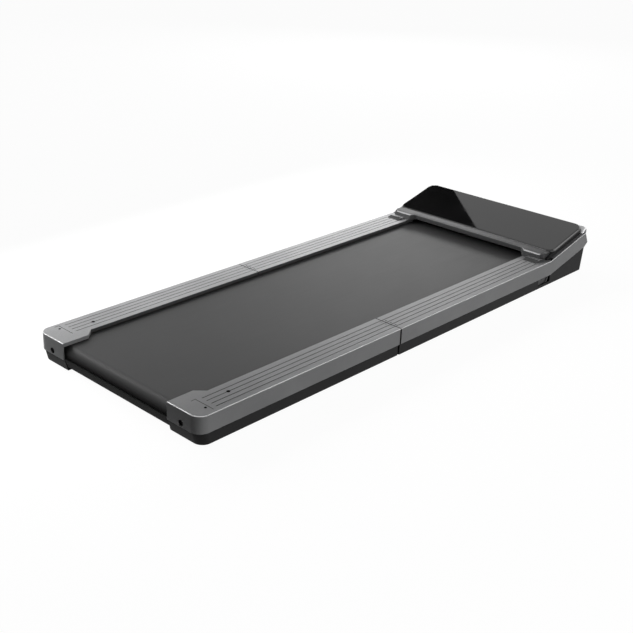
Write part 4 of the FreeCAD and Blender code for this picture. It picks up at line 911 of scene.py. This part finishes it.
for row in frame["record"]["subparts"]:
    finish = [slot for start, slot in OTHER_FINISH.items() if row["node"].startswith(start)]
    dress(frame["nodes"][row["node"]], finish[0] if finish else row["material_slot"])
for node in COVERS:
    crisp(node, COVER_SOFT, spare=in_groove, mark=mark_cover, slots=("shaded_grey",))
looks = {node: crisp(node, width) for node, width in SOFTENED.items()}
# The crossbar takes the darker copy of the base plastic as painted shade.
dress(looks["tail_crossbar"], "shaded_bar_black")
crisp("hood_shell", HOOD_SOFT, rounds=[(back_plate_edge, BACK_EDGE_ROUND, BACK_EDGE_STEPS)], mark=mark_hood,
      slots=("dark_base", "shaded_grey"))
build_belt()
build_lip()
build_shoulders()
build_rear_pan()
build_hinges()
build_screws()


# Camera at the photograph's place

CAMERA_PLACE = (-1.8933, -1.6389, 1.0917)
CAMERA_YAW, CAMERA_PITCH, CAMERA_ROLL = (math.radians(a) for a in (44.69, -21.98, 1.2))
IMAGE_SIDE = 633
FOCAL_PIXELS = 1073.8
SHIFT_PIXELS = (40, -40)
SENSOR_WIDTH = 36
CLIP_RANGE = (0.05, 100)


def aim_camera():
    """Camera with the photograph's place, direction, roll and off-centre framing."""
    ahead = Vector((math.cos(CAMERA_PITCH) * math.cos(CAMERA_YAW),
                    math.cos(CAMERA_PITCH) * math.sin(CAMERA_YAW), math.sin(CAMERA_PITCH)))
    level = ahead.cross(Vector((0, 0, 1))).normalized()
    rise = level.cross(ahead)
    right = level * math.cos(CAMERA_ROLL) + rise * math.sin(CAMERA_ROLL)
    up = rise * math.cos(CAMERA_ROLL) - level * math.sin(CAMERA_ROLL)
    data = bpy.data.cameras.new("camera")
    data.sensor_width = SENSOR_WIDTH
    data.lens = data.sensor_width * FOCAL_PIXELS / IMAGE_SIDE
    data.shift_x, data.shift_y = (pixels / IMAGE_SIDE for pixels in SHIFT_PIXELS)
    data.clip_start, data.clip_end = CLIP_RANGE
    camera = bpy.data.objects.new("camera", data)
    turn = Matrix((right, up, -ahead)).transposed().to_4x4()
    camera.matrix_world = Matrix.Translation(CAMERA_PLACE) @ turn
    scene.collection.objects.link(camera)
    scene.camera = camera


# Studio

AMBIENT = 0.06
FLOOR_HALF = 14
FLOOR_DROP = 0.0002
FLOOR_GREY = 0.1
FLOOR_ROUGH = 0.9
FLOOR_GLOW = 0.96
FLOOR_BOUNCE = 0.16
CARD_BLACK = 0.004
CARDS = {
    "panel_card": [(1.242, 0.567, 1.2), (1.881, 1.464, 1.2), (1.2, 2.016, 1.2), (0.517, 1.2, 1.2)],
    "tail_card": [(-0.74, -0.5, 0.0004), (-0.74, 1.6, 0.0004), (-2.2, 1.6, 0.0004), (-2.2, -0.5, 0.0004)],
}
# Place, target, size and watts of each lamp
LAMPS = {
    "far_strip": ((-0.1, 0.7, 0.42), (-0.1, 0.1, 0.05), (2.0, 0.4), 14.5),
    "tail_kick": ((-1.2, 0.7, 0.3), (-0.7, 0.2, 0.05), (0.4, 0.3), 0.6),
    "tail_glint": ((-0.91, 1.15, 1.15), (-0.7, 0, 0.05), (0.22, 1.2), 10),
    "rim_broad": ((2.7, -0.7, 1.3), (0.64, -0.26, 0.1), (1.3, 0.5), 5),
    "rim_soft": ((1.7, -1.9, 1.4), (0.64, -0.26, 0.1), (1.2, 3.2), 32),
    "near_low": ((0.0, -2.6, 0.4), (0, 0, 0.05), (3.0, 0.6), 24),
    "front_low": ((3.2, 2.4, 1.35), (0.3, 0.2, 0), (1.4, 0.7), 20),
}
DULL_ONLY = ("far_strip", "tail_kick")
REFLECTED_ONLY = ("tail_glint", "rim_broad", "rim_soft")


def seen_directly(tree):
    """One where a ray comes from the camera or from a mirror-like or clear surface."""
    path = tree.nodes.new("ShaderNodeLightPath")
    total = path.outputs["Is Camera Ray"]
    for name in ("Is Glossy Ray", "Is Transmission Ray"):
        most = tree.nodes.new("ShaderNodeMath")
        most.operation = "MAXIMUM"
        tree.links.new(total, most.inputs[0])
        tree.links.new(path.outputs[name], most.inputs[1])
        total = most.outputs[0]
    return total


def choose(tree, otherwise, direct, out):
    """One shader for rays that see a surface directly, and another for the rest."""
    mix = tree.nodes.new("ShaderNodeMixShader")
    tree.links.new(seen_directly(tree), mix.inputs[0])
    tree.links.new(otherwise.outputs[0], mix.inputs[1])
    tree.links.new(direct.outputs[0], mix.inputs[2])
    tree.links.new(mix.outputs[0], out.inputs["Surface"])


def build_world():
    """White to look at, with a low even light."""
    world = bpy.data.worlds.new("studio")
    scene.world = world
    world.use_nodes = True
    tree = world.node_tree
    tree.nodes.clear()
    backdrops = []
    for strength in (AMBIENT, 1.0):
        backdrop = tree.nodes.new("ShaderNodeBackground")
        backdrop.inputs["Color"].default_value = (1, 1, 1, 1)
        backdrop.inputs["Strength"].default_value = strength
        backdrops.append(backdrop)
    choose(tree, *backdrops, tree.nodes.new("ShaderNodeOutputWorld"))


def stage_sheet(name, corners):
    """A flat four-cornered sheet with a material of its own; gives back the object and its node tree."""
    mesh = bpy.data.meshes.new(name)
    mesh.from_pydata(corners, [], [(0, 1, 2, 3)])
    sheet = bpy.data.objects.new(name, mesh)
    scene.collection.objects.link(sheet)
    material = bpy.data.materials.new(name)
    material.use_nodes = True
    mesh.materials.append(material)
    return sheet, material.node_tree


def build_floor():
    """Pale floor that keeps the shadow and fades into the white."""
    half = FLOOR_HALF
    corners = [(-half, -half, 0), (half, -half, 0), (half, half, 0), (-half, half, 0)]
    floor, tree = stage_sheet("floor", corners)
    floor.location.z = -FLOOR_DROP
    main = tree.nodes["Principled BSDF"]
    main.inputs["Base Color"].default_value = (FLOOR_GREY, FLOOR_GREY, FLOOR_GREY, 1)
    main.inputs["Roughness"].default_value = FLOOR_ROUGH
    main.inputs["Specular IOR Level"].default_value = 0
    main.inputs["Emission Color"].default_value = (1, 1, 1, 1)
    main.inputs["Emission Strength"].default_value = FLOOR_GLOW
    bounce = tree.nodes.new("ShaderNodeBsdfDiffuse")
    bounce.inputs["Color"].default_value = (FLOOR_BOUNCE, FLOOR_BOUNCE, FLOOR_BOUNCE, 1)
    choose(tree, bounce, main, tree.nodes["Material Output"])


def build_card(name, corners):
    """Dark card that is seen only in reflections."""
    card, tree = stage_sheet(name, corners)
    main = tree.nodes["Principled BSDF"]
    main.inputs["Base Color"].default_value = (CARD_BLACK, CARD_BLACK, CARD_BLACK, 1)
    main.inputs["Specular IOR Level"].default_value = 0
    card.visible_camera = False
    card.visible_diffuse = False
    card.visible_shadow = False


def add_lamp(name, place, target, size, power):
    """Soft rectangular lamp aimed at a point, for dull surfaces, for reflections or for both."""
    data = bpy.data.lights.new(name, "AREA")
    data.shape = "RECTANGLE"
    data.size, data.size_y = size
    data.energy = power
    lamp = bpy.data.objects.new(name, data)
    lamp.location = place
    lamp.visible_camera = False
    lamp.visible_diffuse = name not in REFLECTED_ONLY
    lamp.visible_glossy = name not in DULL_ONLY
    lamp.rotation_euler = (Vector(target) - Vector(place)).to_track_quat("-Z", "Y").to_euler()
    scene.collection.objects.link(lamp)


aim_camera()
build_world()
build_floor()
for name, corners in CARDS.items():
    build_card(name, corners)
for name, values in LAMPS.items():
    add_lamp(name, *values)
